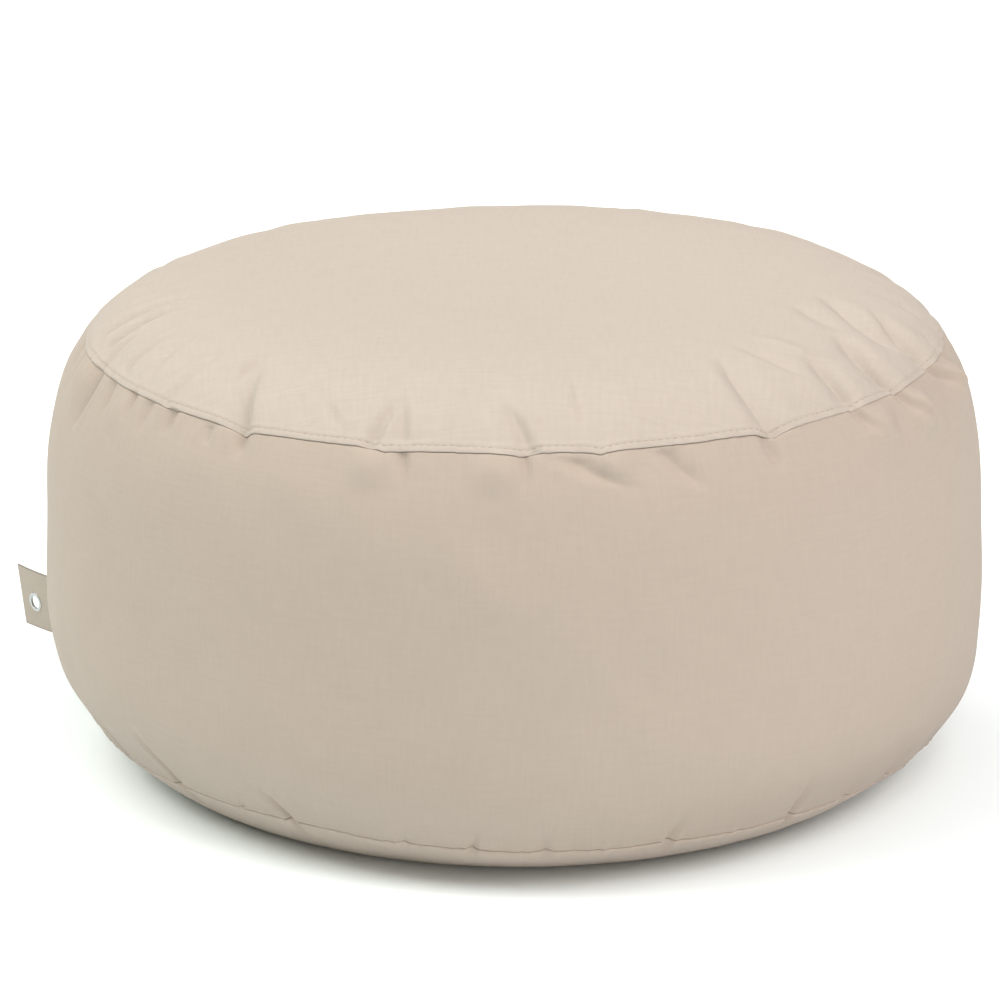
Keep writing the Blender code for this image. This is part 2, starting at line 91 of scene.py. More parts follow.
SEAM_KINKS = (
    SeamKink(-79.8, 2.0, 2.4, 2.4),
    SeamKink(-72.0, 0.6, 2.0, 2.0),
    SeamKink(-61.0, 0.5, 2.0, 2.0),
    SeamKink(-50.5, 1.4, 2.0, 1.2),
    SeamKink(-36.4, 5.0, 3.4, 2.6),
    SeamKink(-16.4, 4.4, 2.0, 3.2),
    SeamKink(0.3, 4.2, 4.6, 1.8),
    SeamKink(10.4, 5.2, 1.9, 2.4),
    SeamKink(23.0, 1.0, 2.0, 2.0),
    SeamKink(33.8, 7.2, 2.2, 3.2),
    SeamKink(48.8, 1.0, 2.0, 2.0),
    SeamKink(58.8, 2.6, 0.9, 2.4),
    SeamKink(68.6, 0.6, 2.0, 2.0),
    SeamKink(79.0, 0.8, 2.4, 2.4),
    SeamKink(93.0, 2.4, 2.4, 2.4),
    SeamKink(106.0, 3.6, 2.0, 3.0),
    SeamKink(123.5, 1.8, 2.4, 2.0),
    SeamKink(137.0, 4.2, 3.0, 2.0),
    SeamKink(155.0, 2.6, 2.0, 2.4),
    SeamKink(172.0, 4.4, 2.2, 3.2),
    SeamKink(-175.0, 1.2, 2.0, 2.0),
    SeamKink(-160.0, 3.4, 3.0, 2.0),
    SeamKink(-143.0, 4.0, 2.2, 2.8),
    SeamKink(-128.0, 1.8, 2.4, 2.0),
    SeamKink(-113.0, 3.8, 3.0, 2.2),
    SeamKink(-95.0, 2.0, 2.4, 2.4),
)


class Fold(NamedTuple):
    """A fold of the cloth between azimuth_a, arc_a and azimuth_b, arc_b.

    bow pushes its middle sideways, in degrees.  depth is how far its line is
    drawn in, negative for a ridge.  left and right are the widths of its two
    walls, towards smaller and larger azimuths.  fade_a and fade_b are the
    shares of its length over which it rises at each end; 0 is full depth.
    """

    azimuth_a: float
    arc_a: float
    azimuth_b: float
    arc_b: float
    bow: float
    depth: float
    left: float
    right: float
    fade_a: float
    fade_b: float


TOP_FOLDS = (
    Fold(-84.2, 6, -86.5, 84, 0, 1.8, 15, 12, 0.3, 0.5),
    Fold(-79.2, 4, -82.6, 124, 1, 6.4, 18, 14, 0.2, 0.5),
    Fold(-73.8, 6, -76.6, 126, 0.4, 7.4, 16, 12, 0.2, 0.5),
    Fold(-70.4, 0, -72, 66, 0, 4.6, 12, 14, 0, 0.6),
    Fold(-63.8, 4, -65.2, 84, 0.3, 4.2, 12, 10, 0.2, 0.5),
    Fold(-57.8, 8, -61.8, 104, 0.4, 2.7, 9, 9, 0.3, 0.5),
    Fold(-50.8, 0, -50.4, 84, -0.2, 2.7, 8, 8, 0, 0.6),
    Fold(-36.8, 0, -44.6, 108, 0.3, 9.0, 30, 13, 0, 0.8),
    Fold(-42.4, 40, -43.6, 98, 0, 2.0, 9, 9, 0.4, 0.4),
    Fold(-28.8, 14, -31, 58, 0, 1.7, 16, 14, 0.4, 0.4),
    Fold(-23, 12, -26.4, 46, 0, 2.7, 14, 12, 0.4, 0.4),
    Fold(-18.2, 0, -16.8, 62, 0.2, 5.2, 14, 9, 0, 0.4),
    Fold(-13.8, 2, -16.8, 72, 0.1, 4.8, 16, 9, 0.2, 0.5),
    Fold(1.8, 0, -1.6, 58, 0.3, 5.8, 15, 10, 0, 0.5),
    Fold(9, 10, 8.8, 108, 0, 1.8, 10, 10, 0.4, 0.5),
    Fold(33.7, 0, 36.0, 118, -1.5, 7.6, 20, 32, 0, 0.5),
    Fold(45.2, 34, 41.2, 128, 0, 4.0, 18, 26, 0.4, 0.4),
    Fold(48.6, -1, 49.6, 84, -0.5, 5.0, 34, 24, 0.2, 0.5),
    Fold(48.6, -1, 49.6, 84, -0.5, 4.0, 22, 18, 0, 0.5),
    Fold(48.6, -1, 49.6, 60, -0.3, 2.4, 8, 7, 0, 0.6),
    Fold(51.0, 58, 47.8, 142, -0.6, -3.4, 16, 24, 0.4, 0.5),
    Fold(58.8, -1, 61.4, 94, -2.0, 6.4, 44, 26, 0.2, 0.5),
    Fold(58.8, -1, 61.4, 94, -2.0, 4.4, 28, 20, 0, 0.5),
    Fold(58.8, -1, 60.6, 70, -1.5, 3.0, 8, 7, 0, 0.6),
    Fold(64, 72, 71.5, 156, -1.4, 4.6, 26, 30, 0.4, 0.4),
    Fold(69.0, 22, 81.0, 140, -4.2, 11.0, 38, 28, 0.3, 0.5),
    Fold(71.4, -1, 78.0, 88, -2.4, 6.0, 44, 28, 0.2, 0.5),
    Fold(71.4, -1, 78.0, 88, -2.4, 4.0, 28, 20, 0, 0.5),
    Fold(71.4, -1, 76.6, 70, -1.9, 3.0, 8, 7, 0, 0.6),
    Fold(77.0, 0, 79.0, 34, -0.3, 3.6, 12, 18, 0.0, 0.6),
    Fold(84.8, 2, 88.6, 84, -0.6, 2.2, 22, 28, 0, 0.5),
    Fold(96, 2, 101, 104, -2, 2.0, 22, 28, 0, 0.5),
    Fold(106, 0, 104, 84, 1.4, 2.8, 22, 28, 0, 0.5),
    Fold(123.5, 0, 126, 66, 0, 3.0, 16, 16, 0, 0.5),
    Fold(137, 0, 141, 92, -1.6, 5.6, 32, 16, 0, 0.5),
    Fold(155, 0, 153, 62, 0, 3.4, 14, 22, 0, 0.5),
    Fold(164, 20, 160, 98, 0, 2.2, 14, 16, 0.4, 0.4),
    Fold(172, 0, 168, 84, 1.6, 5.8, 18, 32, 0, 0.5),
    Fold(-175, 0, -174, 48, 0, 2.6, 13, 13, 0, 0.5),
    Fold(-160, 0, -157, 80, -1.2, 4.6, 28, 15, 0, 0.5),
    Fold(-143, 0, -146, 90, 1.2, 5.2, 17, 30, 0, 0.5),
    Fold(-128, 0, -131, 60, 0, 2.8, 14, 14, 0, 0.5),
    Fold(-113, 0, -109, 84, -1.2, 4.4, 28, 16, 0, 0.5),
    Fold(-95.5, 0, -98, 90, 0, 2.4, 16, 16, 0, 0.5),
)

BAND_FOLDS = (
    Fold(-84, 0, -82, -34, 0, 2.4, 20, 12, 0, 0.6),
    Fold(-78.2, 0, -78.6, -38, 0, 2.4, 13, 10, 0.1, 0.5),
    Fold(-69.6, 0, -71.8, -74, 1, 7.4, 28, 12, 0, 0.6),
    Fold(-64.4, 0, -63, -40, 0, 3.6, 15, 11, 0, 0.6),
    Fold(-57.9, 0, -57, -32, 0, 3.3, 14, 10, 0, 0.6),
    Fold(-53.8, 0, -53.8, -40, 0, 3.6, 14, 10, 0, 0.6),
    Fold(-48.9, 0, -48.9, -30, 0, 4.6, 14, 10, 0, 0.6),
    Fold(-41.8, -2, -41.4, -26, 0, 3.1, 11, 9, 0.2, 0.5),
    Fold(-36.6, 0, -36.4, -32, 0.2, 7.6, 14, 13, 0, 0.8),
    Fold(-14.0, 0, -13.6, -26, 0, 2.6, 14, 7, 0.2, 0.8),
    Fold(-13.8, 0, -13.4, -46, 0, 1.8, 8, 8, 0.1, 0.6),
    Fold(1.2, 0, 1.4, -28, 0, 2.8, 14, 7, 0, 0.9),
    Fold(1.2, 0, 1.4, -44, 0, 2.0, 8, 8, 0, 0.6),
    Fold(6.2, -2, 14.4, -40, -0.3, 4.8, 17, 13, 0.2, 0.5),
    Fold(18.2, 0, 23.0, -46, -0.2, 5, 15, 18, 0.1, 0.5),
    Fold(32.4, 0, 33.4, -42, 0, 5.0, 12, 16, 0, 0.6),
    Fold(48.6, 1, 51.4, -38, 0, 6.4, 12, 8, 0, 0.8),
    Fold(58.8, 1, 62.1, -46, -0.2, 7.4, 13, 8, 0, 0.7),
    Fold(71.4, 1, 77.4, -46, -0.2, 7.0, 13, 8, 0, 0.7),
    Fold(79, 2, 78.6, -40, -0.4, 3.9, 14, 18, 0.1, 0.5),
    Fold(90, 0, 94, -52, 0, 2.2, 16, 22, 0, 0.5),
    Fold(106, 0, 108, -50, 0, 2.8, 16, 24, 0, 0.5),
    Fold(118, -2, 121, -48, 0, 2.4, 14, 14, 0.2, 0.5),
    Fold(137, 0, 135, -54, 0, 4.8, 26, 15, 0, 0.5),
    Fold(155, 0, 156, -40, 0, 3.3, 14, 14, 0, 0.5),
    Fold(172, 0, 174, -52, 0, 5.1, 16, 26, 0, 0.5),
    Fold(-168, -2, -167, -40, 0, 2.6, 14, 14, 0.2, 0.5),
    Fold(-160, 0, -161, -46, 0, 4.2, 24, 14, 0, 0.5),
    Fold(-143, 0, -141, -50, 0, 4.6, 15, 26, 0, 0.5),
    Fold(-126, 0, -128, -44, 0, 3.1, 14, 13, 0, 0.5),
    Fold(-113, 0, -115, -52, 0, 4.6, 24, 14, 0, 0.5),
    Fold(-97, 0, -98.5, -46, 0, 2.6, 14, 14, 0, 0.5),
)


class Tuck(NamedTuple):
    """A crease at the base seam; lengths in mm, azimuth and lean in degrees.

    lift is how far it draws the seam up, depth how far it draws the cloth in,
    left and right the widths of its walls, reach and base_reach how far it
    runs up the band and down the base, and lean how far it turns on the band.
    """

    azimuth: float
    lift: float
    depth: float
    left: float
    right: float
    reach: float
    lean: float
    base_reach: float


TUCKS = (
    Tuck(-74.0, 1.0, 2.2, 5, 7, 40, 3.0, 26),
    Tuck(-62.5, 1.5, 5.0, 7, 8, 60, -4.0, 34),
    Tuck(-49.0, 2.5, 8.0, 12, 7, 84, -5.0, 44),
    Tuck(-38.0, 1.0, 2.4, 6, 6, 30, 2.0, 28),
    Tuck(-29.5, 2.0, 7.0, 11, 6, 52, -4.5, 50),
    Tuck(-14.0, 1.0, 2.4, 6, 6, 26, 1.0, 24),
    Tuck(-5.5, 2.5, 3.2, 6, 6, 30, 1.0, 26),
    Tuck(3.7, 1.5, 3.0, 7, 7, 34, -1.0, 30),
    Tuck(19.0, 2.0, 3.6, 6, 8, 46, 2.0, 30),
    Tuck(36.8, 2.5, 4.2, 6, 9, 68, 1.0, 38),
    Tuck(47.0, 1.0, 2.2, 6, 6, 26, 2.0, 26),
    Tuck(56.0, 2.0, 4.2, 6, 9, 52, 3.5, 38),
    Tuck(70.0, 1.5, 3.0, 6, 8, 40, 3.0, 30),
    Tuck(86.0, 2.0, 3.8, 6, 9, 56, -2.0, 36),
    Tuck(101.0, 1.0, 2.6, 6, 7, 34, 1.5, 26),
    Tuck(118.0, 2.2, 4.2, 9, 6, 60, -2.0, 38),
    Tuck(134.0, 1.5, 3.0, 6, 8, 42, 2.0, 30),
    Tuck(151.0, 2.2, 4.4, 6, 9, 62, 2.0, 40),
    Tuck(168.0, 1.5, 3.0, 8, 6, 40, -2.0, 30),
    Tuck(-176.0, 2.2, 4.0, 6, 9, 58, 2.0, 38),
    Tuck(-160.0, 1.0, 2.6, 7, 6, 34, -1.0, 26),
    Tuck(-145.0, 2.2, 4.2, 6, 9, 60, 2.0, 38),
    Tuck(-129.0, 1.5, 3.0, 8, 6, 40, -2.0, 30),
    Tuck(-110.0, 2.2, 4.2, 6, 9, 60, 2.5, 38),
    Tuck(-90.0, 1.5, 3.2, 6, 8, 44, 1.5, 30),
)


class Bulge(NamedTuple):
    """A broad place where the filling pushes out; arcs and push in mm."""

    azimuth: float
    spread: float
    arc: float
    arc_spread: float
    push: float


BULGES = (
    Bulge(-52.0, 62, -410, 150, -10.0),
    Bulge(58.0, 45, -410, 80, -3.0),
    Bulge(80.0, 40, -348, 60, 3.5),
    Bulge(88.0, 60, -170, 190, -2.8),
    Bulge(-88.0, 60, -60, 120, 1.0),
    Bulge(-130.0, 40, 150, 110, -4.0),
    Bulge(1.0, 20, -74, 70, -3.0),
    Bulge(52.0, 4.2, -25, 29, 10.0),
    Bulge(61.8, 4.6, -27, 31, 14.5),
    Bulge(75.4, 4.8, -27, 32, 14.5),
    Bulge(-17.8, 4.4, -17, 27, 5.4),
    Bulge(-2.4, 4.4, -17, 27, 5.4),
    Bulge(12.0, 3.6, -14, 24, 4.6),
    Bulge(-75.0, 5.0, -18, 32, 5.0),
    Bulge(-60.0, 4.0, -24, 26, 3.0),
)


class Swell(NamedTuple):
    """A slow wave around the whole side: its count, height (m) and turn."""

    waves: int
    height: float
    turn: float


SWELLS = (
    Swell(3, 1.2 * MM, 20.0),
    Swell(5, 0.9 * MM, 75.0),
    Swell(8, 0.6 * MM, 140.0),
)


# ================================================================ small sums
def ease(t: np.ndarray) -> np.ndarray:
    """Return a smooth rise from 0 to 1 of each value of t."""
    t = np.clip(t, 0.0, 1.0)
    return t * t * (3.0 - 2.0 * t)


def turn_between(azimuth: np.ndarray, centre: float | np.ndarray) -> np.ndarray:
    """Return the signed angle in degrees from centre to each azimuth."""
    return (azimuth - centre + 180.0) % 360.0 - 180.0


def cloth_across(azimuth: np.ndarray, centre: float | np.ndarray, radius: float | np.ndarray) -> np.ndarray:
    """Return the distance across the cloth from a line at centre."""
    return np.radians(turn_between(azimuth, centre)) * radius


def on_circle(azimuth: np.ndarray, radius: float | np.ndarray) -> tuple[np.ndarray, np.ndarray]:
    """Return x and y at each azimuth, that far from the upright axis."""
    angle = np.radians(azimuth)
    return radius * np.sin(angle), -radius * np.cos(angle)


def even_azimuths(count: int) -> np.ndarray:
    """Return the azimuths of a ring of count points, from the rear around."""
    return -180.0 + 360.0 * np.arange(count) / count


def valley(offset: np.ndarray, left: float, right: float, rounding: float) -> np.ndarray:
    """Return the section of a fold, 1 at its line and 0 beyond its walls.

    Args:
        offset: distances from the fold's line, positive to the right.
        left: width of the left wall.
        right: width of the right wall.
        rounding: radius of the fold's line.

    Returns:
        The share of the fold's depth at each offset.
    """
    width = np.where(offset < 0.0, left, right)
    away = (np.sqrt(offset * offset + rounding * rounding) - rounding) / width
    wall = np.clip(1.0 - away, 0.0, 1.0) ** WALL_CURVE
    bank = np.exp(-(((away - 1.0) / BANK_SPREAD) ** 2))
    return wall - BANK_HEIGHT * bank


def bezier(start: tuple, handle_a: tuple, handle_b: tuple, end: tuple, steps: int) -> np.ndarray:
    """Return points of one cubic stretch as an array of (radius, height)."""
    t = np.linspace(0.0, 1.0, steps)[:, None]
    a, b, c, d = (np.array(p) for p in (start, handle_a, handle_b, end))
    return a * (1 - t) ** 3 + 3 * b * t * (1 - t) ** 2 + 3 * c * t ** 2 * (1 - t) + d * t ** 3


# ================================================================ the form
@dataclass
class BagForm:
    """The filled drum's outside: its outline and everything raised on it."""

    diameter: float = 0.900
    height: float = 0.459
    widest_height: float = 0.173
    top_seam: tuple = (0.407, 0.410)
    base_seam: tuple = (0.4145, 0.042)
    contact_radius: float = 0.338
    # Handles that bend the outline, from the crown down to the flat spot.
    crown_reach: float = 0.198
    crown_shoulder: tuple = (0.355, 0.481)
    band_shoulder: tuple = (0.425, 0.386)
    band_upper_height: float = 0.378
    band_lower_height: float = 0.088
    band_turn: tuple = (0.4353, 0.0845)
    base_turn: tuple = (0.4080, 0.030)
    base_reach: float = 0.358
    outline_steps: int = 700
    normal_step: float = 2 * MM
    fold_rounding: float = 1.5 * MM
    seam_handover: float = 3.0 * MM
    # Under the top seam the band is drawn in, down to neck_reach, and then out
    # again over neck_fade.
    neck_depth: float = 2.4 * MM
    neck_reach: float = 28 * MM
    neck_fade: float = 85 * MM
    # The top seam lies seam_lift over its place, and seam_tilt more at the right;
    # a tuck lifts the base seam over seam_spread, in degrees.
    seam_spread: float = 2.4
    seam_tilt: float = 1.4 * MM
    seam_lift: float = 1.2 * MM
    ripple_height: float = 0.3 * MM
    ripple_fade: float = 13 * MM
    # Waves around the seam and their turns, and those that make them uneven.
    ripple_waves: tuple = ((83, 0.3), (127, 1.9), (149, 4.1), (191, 2.6), (233, 0.8))
    ripple_swells: tuple = ((7, 1.0), (11, 0.4))
    ripple_floor: float = 0.6
    # A tuck has tuck_spread of its width at the seam and tuck_flare more at its end.
    tuck_spread: float = 0.85
    tuck_flare: float = 0.4
    # Swells and dents fade out this far up the crown.
    crown_calm: float = 0.25
    # Faint dents, each a wave around the bag that leans by up to dent_slant
    # radians for each metre of arc.
    dent_count: int = 26
    dent_height: float = 0.10 * MM
    dent_waves: tuple = (6, 42)
    dent_slant: float = 70.0
    dent_seed: int = 7
    # The top seam's edge stands proud up to proud_reach degrees from proud_middle.
    # Over the next proud_fade degrees it sinks to flat_share of its height.
    proud_middle: float = -20.0
    proud_reach: float = 52.0
    proud_fade: float = 10.0
    flat_share: float = 0.50

    radius: np.ndarray = field(init=False)
    rise: np.ndarray = field(init=False)
    arc: np.ndarray = field(init=False)
    crown_length: float = field(init=False)
    band_length: float = field(init=False)
    base_length: float = field(init=False)
    dents: list = field(init=False)

    def __post_init__(self) -> None:
        """Lay out the outline from the crown down to the flat spot."""
        side = self.diameter / 2
        widest = (side, self.widest_height)
        steps = self.outline_steps
        crown, contact = (0.0, self.height), (self.contact_radius, 0.0)
        stretches = [
            bezier(crown, (self.crown_reach, self.height), self.crown_shoulder, self.top_seam, steps),
            bezier(self.top_seam, self.band_shoulder, (side, self.band_upper_height), widest, steps),
            bezier(widest, (side, self.band_lower_height), self.band_turn, self.base_seam, steps),
            bezier(self.base_seam, self.base_turn, (self.base_reach, 0.0), contact, steps),
        ]
        points = np.vstack([stretches[0]] + [s[1:] for s in stretches[1:]])
        walked = np.concatenate([[0.0], np.cumsum(np.linalg.norm(np.diff(points, axis=0), axis=1))])
        top_index = steps - 1
        base_index = 3 * (steps - 1)
        self.radius = points[::-1, 0]
        self.rise = points[::-1, 1]
        self.arc = (walked[top_index] - walked)[::-1]
        self.crown_length = float(self.arc[-1])
        self.band_length = float(walked[base_index] - walked[top_index])
        self.base_length = float(walked[-1] - walked[base_index])
        self.dents = list(self.draw_dents(np.random.default_rng(self.dent_seed)))

    def draw_dents(self, rng: np.random.Generator) -> Iterator[tuple[int, float, float]]:
        """Yield each faint dent's wave around the bag, as (count, slant, phase)."""
        for _ in range(self.dent_count):
            waves = int(rng.integers(*self.dent_waves))
            slant = float(rng.uniform(-self.dent_slant, self.dent_slant))
            yield waves, slant, float(rng.uniform(0, 2 * math.pi))

    def at(self, arc: np.ndarray) -> tuple[np.ndarray, np.ndarray]:
        """Return the outline's radius and height at each arc."""
        return np.interp(arc, self.arc, self.radius), np.interp(arc, self.arc, self.rise)

    def normal(self, arc: np.ndarray) -> tuple[np.ndarray, np.ndarray]:
        """Return the outward normal at each arc as (radial, upward)."""
        low = self.at(np.maximum(arc - self.normal_step, self.arc[0]))
        high = self.at(np.minimum(arc + self.normal_step, self.crown_length))
        run, rise = high[0] - low[0], high[1] - low[1]
        size = np.hypot(run, rise)
        return rise / size, -run / size

    def top_seam_arc(self, azimuth: np.ndarray) -> np.ndarray:
        """Return the arc at which the wavy top seam runs."""
        arc = self.seam_lift + self.seam_tilt * np.sin(np.radians(azimuth))
        for k in SEAM_KINKS:
            turn = turn_between(azimuth, k.azimuth)
            arc = arc - k.drop * MM * np.exp(-np.abs(turn) / np.where(turn < 0.0, k.left, k.right))
        return arc

    def edge_share(self, azimuth: np.ndarray) -> np.ndarray:
        """Return how proud the top seam's edge stands; it lies flatter at the right and rear."""
        beyond = ease((np.abs(turn_between(azimuth, self.proud_middle)) - self.proud_reach) / self.proud_fade)
        return 1.0 - (1.0 - self.flat_share) * beyond

    def base_seam_arc(self, azimuth: np.ndarray) -> np.ndarray:
        """Return the arc at which the wavy base seam runs."""
        arc = np.full_like(azimuth, -self.band_length)
        for t in TUCKS:
            arc = arc + t.lift * MM * np.exp(-np.abs(turn_between(azimuth, t.azimuth)) / self.seam_spread)
        return arc

    def fold_relief(
        self, folds: tuple, azimuth: np.ndarray, arc: np.ndarray, radius: np.ndarray
    ) -> np.ndarray:
        """Return how far a table of folds moves the cloth, inwards if negative."""
        push = np.zeros_like(arc)
        for f in folds:
            start, end = f.arc_a * MM, f.arc_b * MM
            along = (arc - start) / (end - start)
            near = np.abs(turn_between(azimuth, (f.azimuth_a + f.azimuth_b) / 2)) < FOLD_WINDOW
            inside = near & (along < 1.0) & ((along > 0.0) | (f.fade_a == 0.0))
            if not inside.any():
                continue
            t = np.clip(along[inside], 0.0, 1.0)
            centre = f.azimuth_a + (f.azimuth_b - f.azimuth_a) * t + 4.0 * f.bow * t * (1.0 - t)
            drift = math.radians(f.azimuth_b - f.azimuth_a) * radius[inside] / (end - start)
            offset = cloth_across(azimuth[inside], centre, radius[inside]) / np.sqrt(1.0 + drift * drift)
            rise = ease(t / f.fade_a) if f.fade_a > 0 else np.ones_like(t)
            fall = ease((1.0 - t) / f.fade_b)
            narrow = 1.0 - FOLD_TAPER * t
            section = valley(offset, f.left * narrow * MM, f.right * narrow * MM, self.fold_rounding)
            push[inside] -= f.depth * MM * rise * fall * section
        return push

    def tuck_relief(self, azimuth: np.ndarray, below: np.ndarray, radius: np.ndarray) -> np.ndarray:
        """Return how far the base tucks draw in, below the seam if positive."""
        depth = np.zeros_like(below)
        for t in TUCKS:
            reach = np.where(below >= 0.0, t.base_reach, t.reach) * MM
            along = np.abs(below) / reach
            lean = np.where(below >= 0.0, 0.0, t.lean) * along
            offset = cloth_across(azimuth, t.azimuth + lean, radius)
            flare = self.tuck_spread + self.tuck_flare * along
            section = valley(offset / flare, t.left * MM, t.right * MM, self.fold_rounding)
            depth -= t.depth * MM * (1.0 - ease(along)) * section
        return depth

    def broad_relief(self, azimuth: np.ndarray, arc: np.ndarray) -> np.ndarray:
        """Return the bulges, the slow swells and the faint dents of the filling."""
        height = np.zeros_like(arc)
        for b in BULGES:
            around = ease(np.abs(turn_between(azimuth, b.azimuth)) / b.spread)
            along = ease(np.abs(arc / MM - b.arc) / b.arc_spread)
            height += b.push * MM * (1.0 - around) * (1.0 - along)
        angle = np.radians(azimuth)
        fade = np.where(arc > 0.0, ease(1.0 - arc / self.crown_calm), 1.0)
        for s in SWELLS:
            height += fade * s.height * np.sin(s.waves * angle + math.radians(s.turn))
        for waves, slant, phase in self.dents:
            height += fade * self.dent_height * np.sin(waves * angle + slant * arc + phase)
        return height

    def ripple(self, azimuth: np.ndarray) -> np.ndarray:
        """Return the uneven puckering that the stitching makes along a seam."""
        angle = np.radians(azimuth)
        wave = sum(np.sin(waves * angle + phase) for waves, phase in self.ripple_waves)
        slow, quick = (np.sin(waves * angle + phase) for waves, phase in self.ripple_swells)
        return self.ripple_height * wave * (self.ripple_floor + (1.0 - self.ripple_floor) * slow * quick)

    def points(self, azimuth: np.ndarray, arc: np.ndarray, extra: np.ndarray | float = 0.0) -> np.ndarray:
        """Return points of the cloth's outside.

        Args:
            azimuth: azimuth of each point, in degrees.
            arc: arc of each point.
            extra: how far each point stands out from the cloth.

        Returns:
            An array with a row of (x, y, z) for each point.
        """
        azimuth, arc = np.broadcast_arrays(np.asarray(azimuth, float), np.asarray(arc, float))
        radius, height = self.at(arc)
        radial, upward = self.normal(arc)
        below = -self.band_length - arc
        to_contact = 1.0 - ease(below / self.base_length)
        above = ease((arc - self.top_seam_arc(azimuth)) / self.seam_handover + 0.5)
        push = self.fold_relief(TOP_FOLDS, azimuth, arc, radius) * above
        push += self.fold_relief(BAND_FOLDS, azimuth, arc, radius) * (1.0 - above)
        push += self.broad_relief(azimuth, arc)
        past_neck = ease((-arc - self.neck_reach) / self.neck_fade)
        push -= self.neck_depth * ease(-arc / self.neck_reach) * (1.0 - past_neck)
        push += self.tuck_relief(azimuth, below, radius)
        seam_near = np.exp(-np.abs(arc) / self.ripple_fade) + np.exp(-np.abs(below) / self.ripple_fade)
        push += self.ripple(azimuth) * seam_near
        push = push * to_contact + extra
        radius = radius + radial * push
        height = np.maximum(height + upward * push, 0.0)
        return np.stack([*on_circle(azimuth, radius), height], axis=-1)


# ================================================================ meshes
def linked(name: str, data: ID) -> Object:
    """Return a new object of that data, linked to the scene at the origin."""
    obj = bpy.data.objects.new(name, data)
    bpy.context.scene.collection.objects.link(obj)
    return obj


def mesh_piece(name: str, points: list, faces: list) -> Object:
    """Return a new mesh object from its points and faces."""
    mesh = bpy.data.meshes.new(name)
    mesh.from_pydata(points, [], faces)
    return linked(name, mesh)


def lay_cloth_map(mesh: Mesh, corners: np.ndarray) -> None:
    """Give a mesh its cloth map, with a row of (across, along) for each corner."""
    layer = mesh.uv_layers.new(name="cloth")
    layer.data.foreach_set("uv", corners.astype(np.float32).ravel())


def made_plain(obj: Object, name: str) -> Object:
    """Return a new object with the mesh that obj's modifiers make, in obj's place."""
    evaluated = obj.evaluated_get(bpy.context.evaluated_depsgraph_get())
    mesh = bpy.data.meshes.new_from_object(evaluated)
    mesh.name = name
    bpy.data.objects.remove(obj, do_unlink=True)
    return linked(name, mesh)


def recalculate_normals(obj: Object) -> None:
    """Turn every face of a closed mesh outwards."""
    mesh = bmesh.new()
    mesh.from_mesh(obj.data)
    bmesh.ops.recalc_face_normals(mesh, faces=mesh.faces)
    mesh.to_mesh(obj.data)
    mesh.free()


def rows_between(start: float, end: float, step: float) -> list[float]:
    """Return evenly spaced distances from start up to but without end, in mm."""
    count = max(int(round((end - start) / step)), 1)
    return [start + (end - start) * i / count for i in range(count)]


@dataclass
class ClothSkin:
    """A closed mesh of rings around the upright axis, with a cloth UV map."""

    name: str
    points: list = field(default_factory=list)
    cloth_uv: list = field(default_factory=list)
    quads: list = field(default_factory=list)
    triangles: list = field(default_factory=list)
    point_count: int = 0
    last_ring: np.ndarray | None = None

    def add_ring(self, points: np.ndarray, cloth_uv: np.ndarray) -> None:
        """Add a ring, joined to the last one, which may have twice or half its count."""
        ring = self.point_count + np.arange(len(points))
        self.point_count += len(points)
        self.points.append(points)
        self.cloth_uv.append(cloth_uv)
        if self.last_ring is not None:
            self.join(self.last_ring, ring)
        self.last_ring = ring

    def join(self, lower: np.ndarray, upper: np.ndarray) -> None:
        """Join two rings whose counts are equal, or one twice the other."""
        if len(lower) == len(upper):
            self.quads.append(np.stack([lower, np.roll(lower, -1), np.roll(upper, -1), upper], axis=1))
            return
        wide, narrow, turned = (lower, upper, False) if len(lower) > len(upper) else (upper, lower, True)
        even, odd, following = wide[0::2], wide[1::2], np.roll(wide[0::2], -1)
        narrow_next = np.roll(narrow, -1)
        faces = [
            np.stack([even, odd, narrow], axis=1),
            np.stack([odd, narrow_next, narrow], axis=1),
            np.stack([odd, following, narrow_next], axis=1),
        ]
        for block in faces:
            self.triangles.append(block[:, ::-1] if turned else block)

    def add_hub(self, point: tuple, cloth_uv: tuple, first: bool = False) -> None:
        """Close the skin with a fan to one point, at its first or last ring."""
        ring = np.arange(len(self.points[0])) if first else self.last_ring
        hub = np.full(len(ring), self.point_count)
        self.point_count += 1
        self.points.append(np.array([point]))
        self.cloth_uv.append(np.array([cloth_uv]))
        fan = np.stack([ring, np.roll(ring, -1), hub], axis=1)
        self.triangles.append(fan[:, ::-1] if first else fan)

    def turn_over(self) -> None:
        """Turn every face over, for a skin whose rings run from the top down."""
        self.quads = [block[:, ::-1] for block in self.quads]
        self.triangles = [block[:, ::-1] for block in self.triangles]

    def to_object(self, uv_period: float | None = None) -> Object:
        """Make the mesh object.

        Args:
            uv_period: width after which the cloth map repeats, if it wraps.

        Returns:
            The new object, linked to the scene, at the origin.
        """
        points = np.concatenate(self.points)
        cloth_uv = np.concatenate(self.cloth_uv)
        quads = np.concatenate(self.quads)
        triangles = np.concatenate(self.triangles)
        corners = []
        for block in (quads, triangles):
            uv = cloth_uv[block]
            if uv_period:
                turns = np.round((uv[:, :, 0] - uv[:, :1, 0]) / uv_period)
                uv[:, :, 0] -= turns * uv_period
            corners.append(uv.reshape(-1, 2))
        obj = mesh_piece(self.name, points.tolist(), quads.tolist() + triangles.tolist())
        lay_cloth_map(obj.data, np.concatenate(corners))
        obj.data.update()
        obj.data.shade_smooth()
        return obj


# ================================================================ materials
class Grain(Enum):
    """Which way the heavier threads of a cloth run."""

    LEVEL = "level"
    UPRIGHT = "upright"


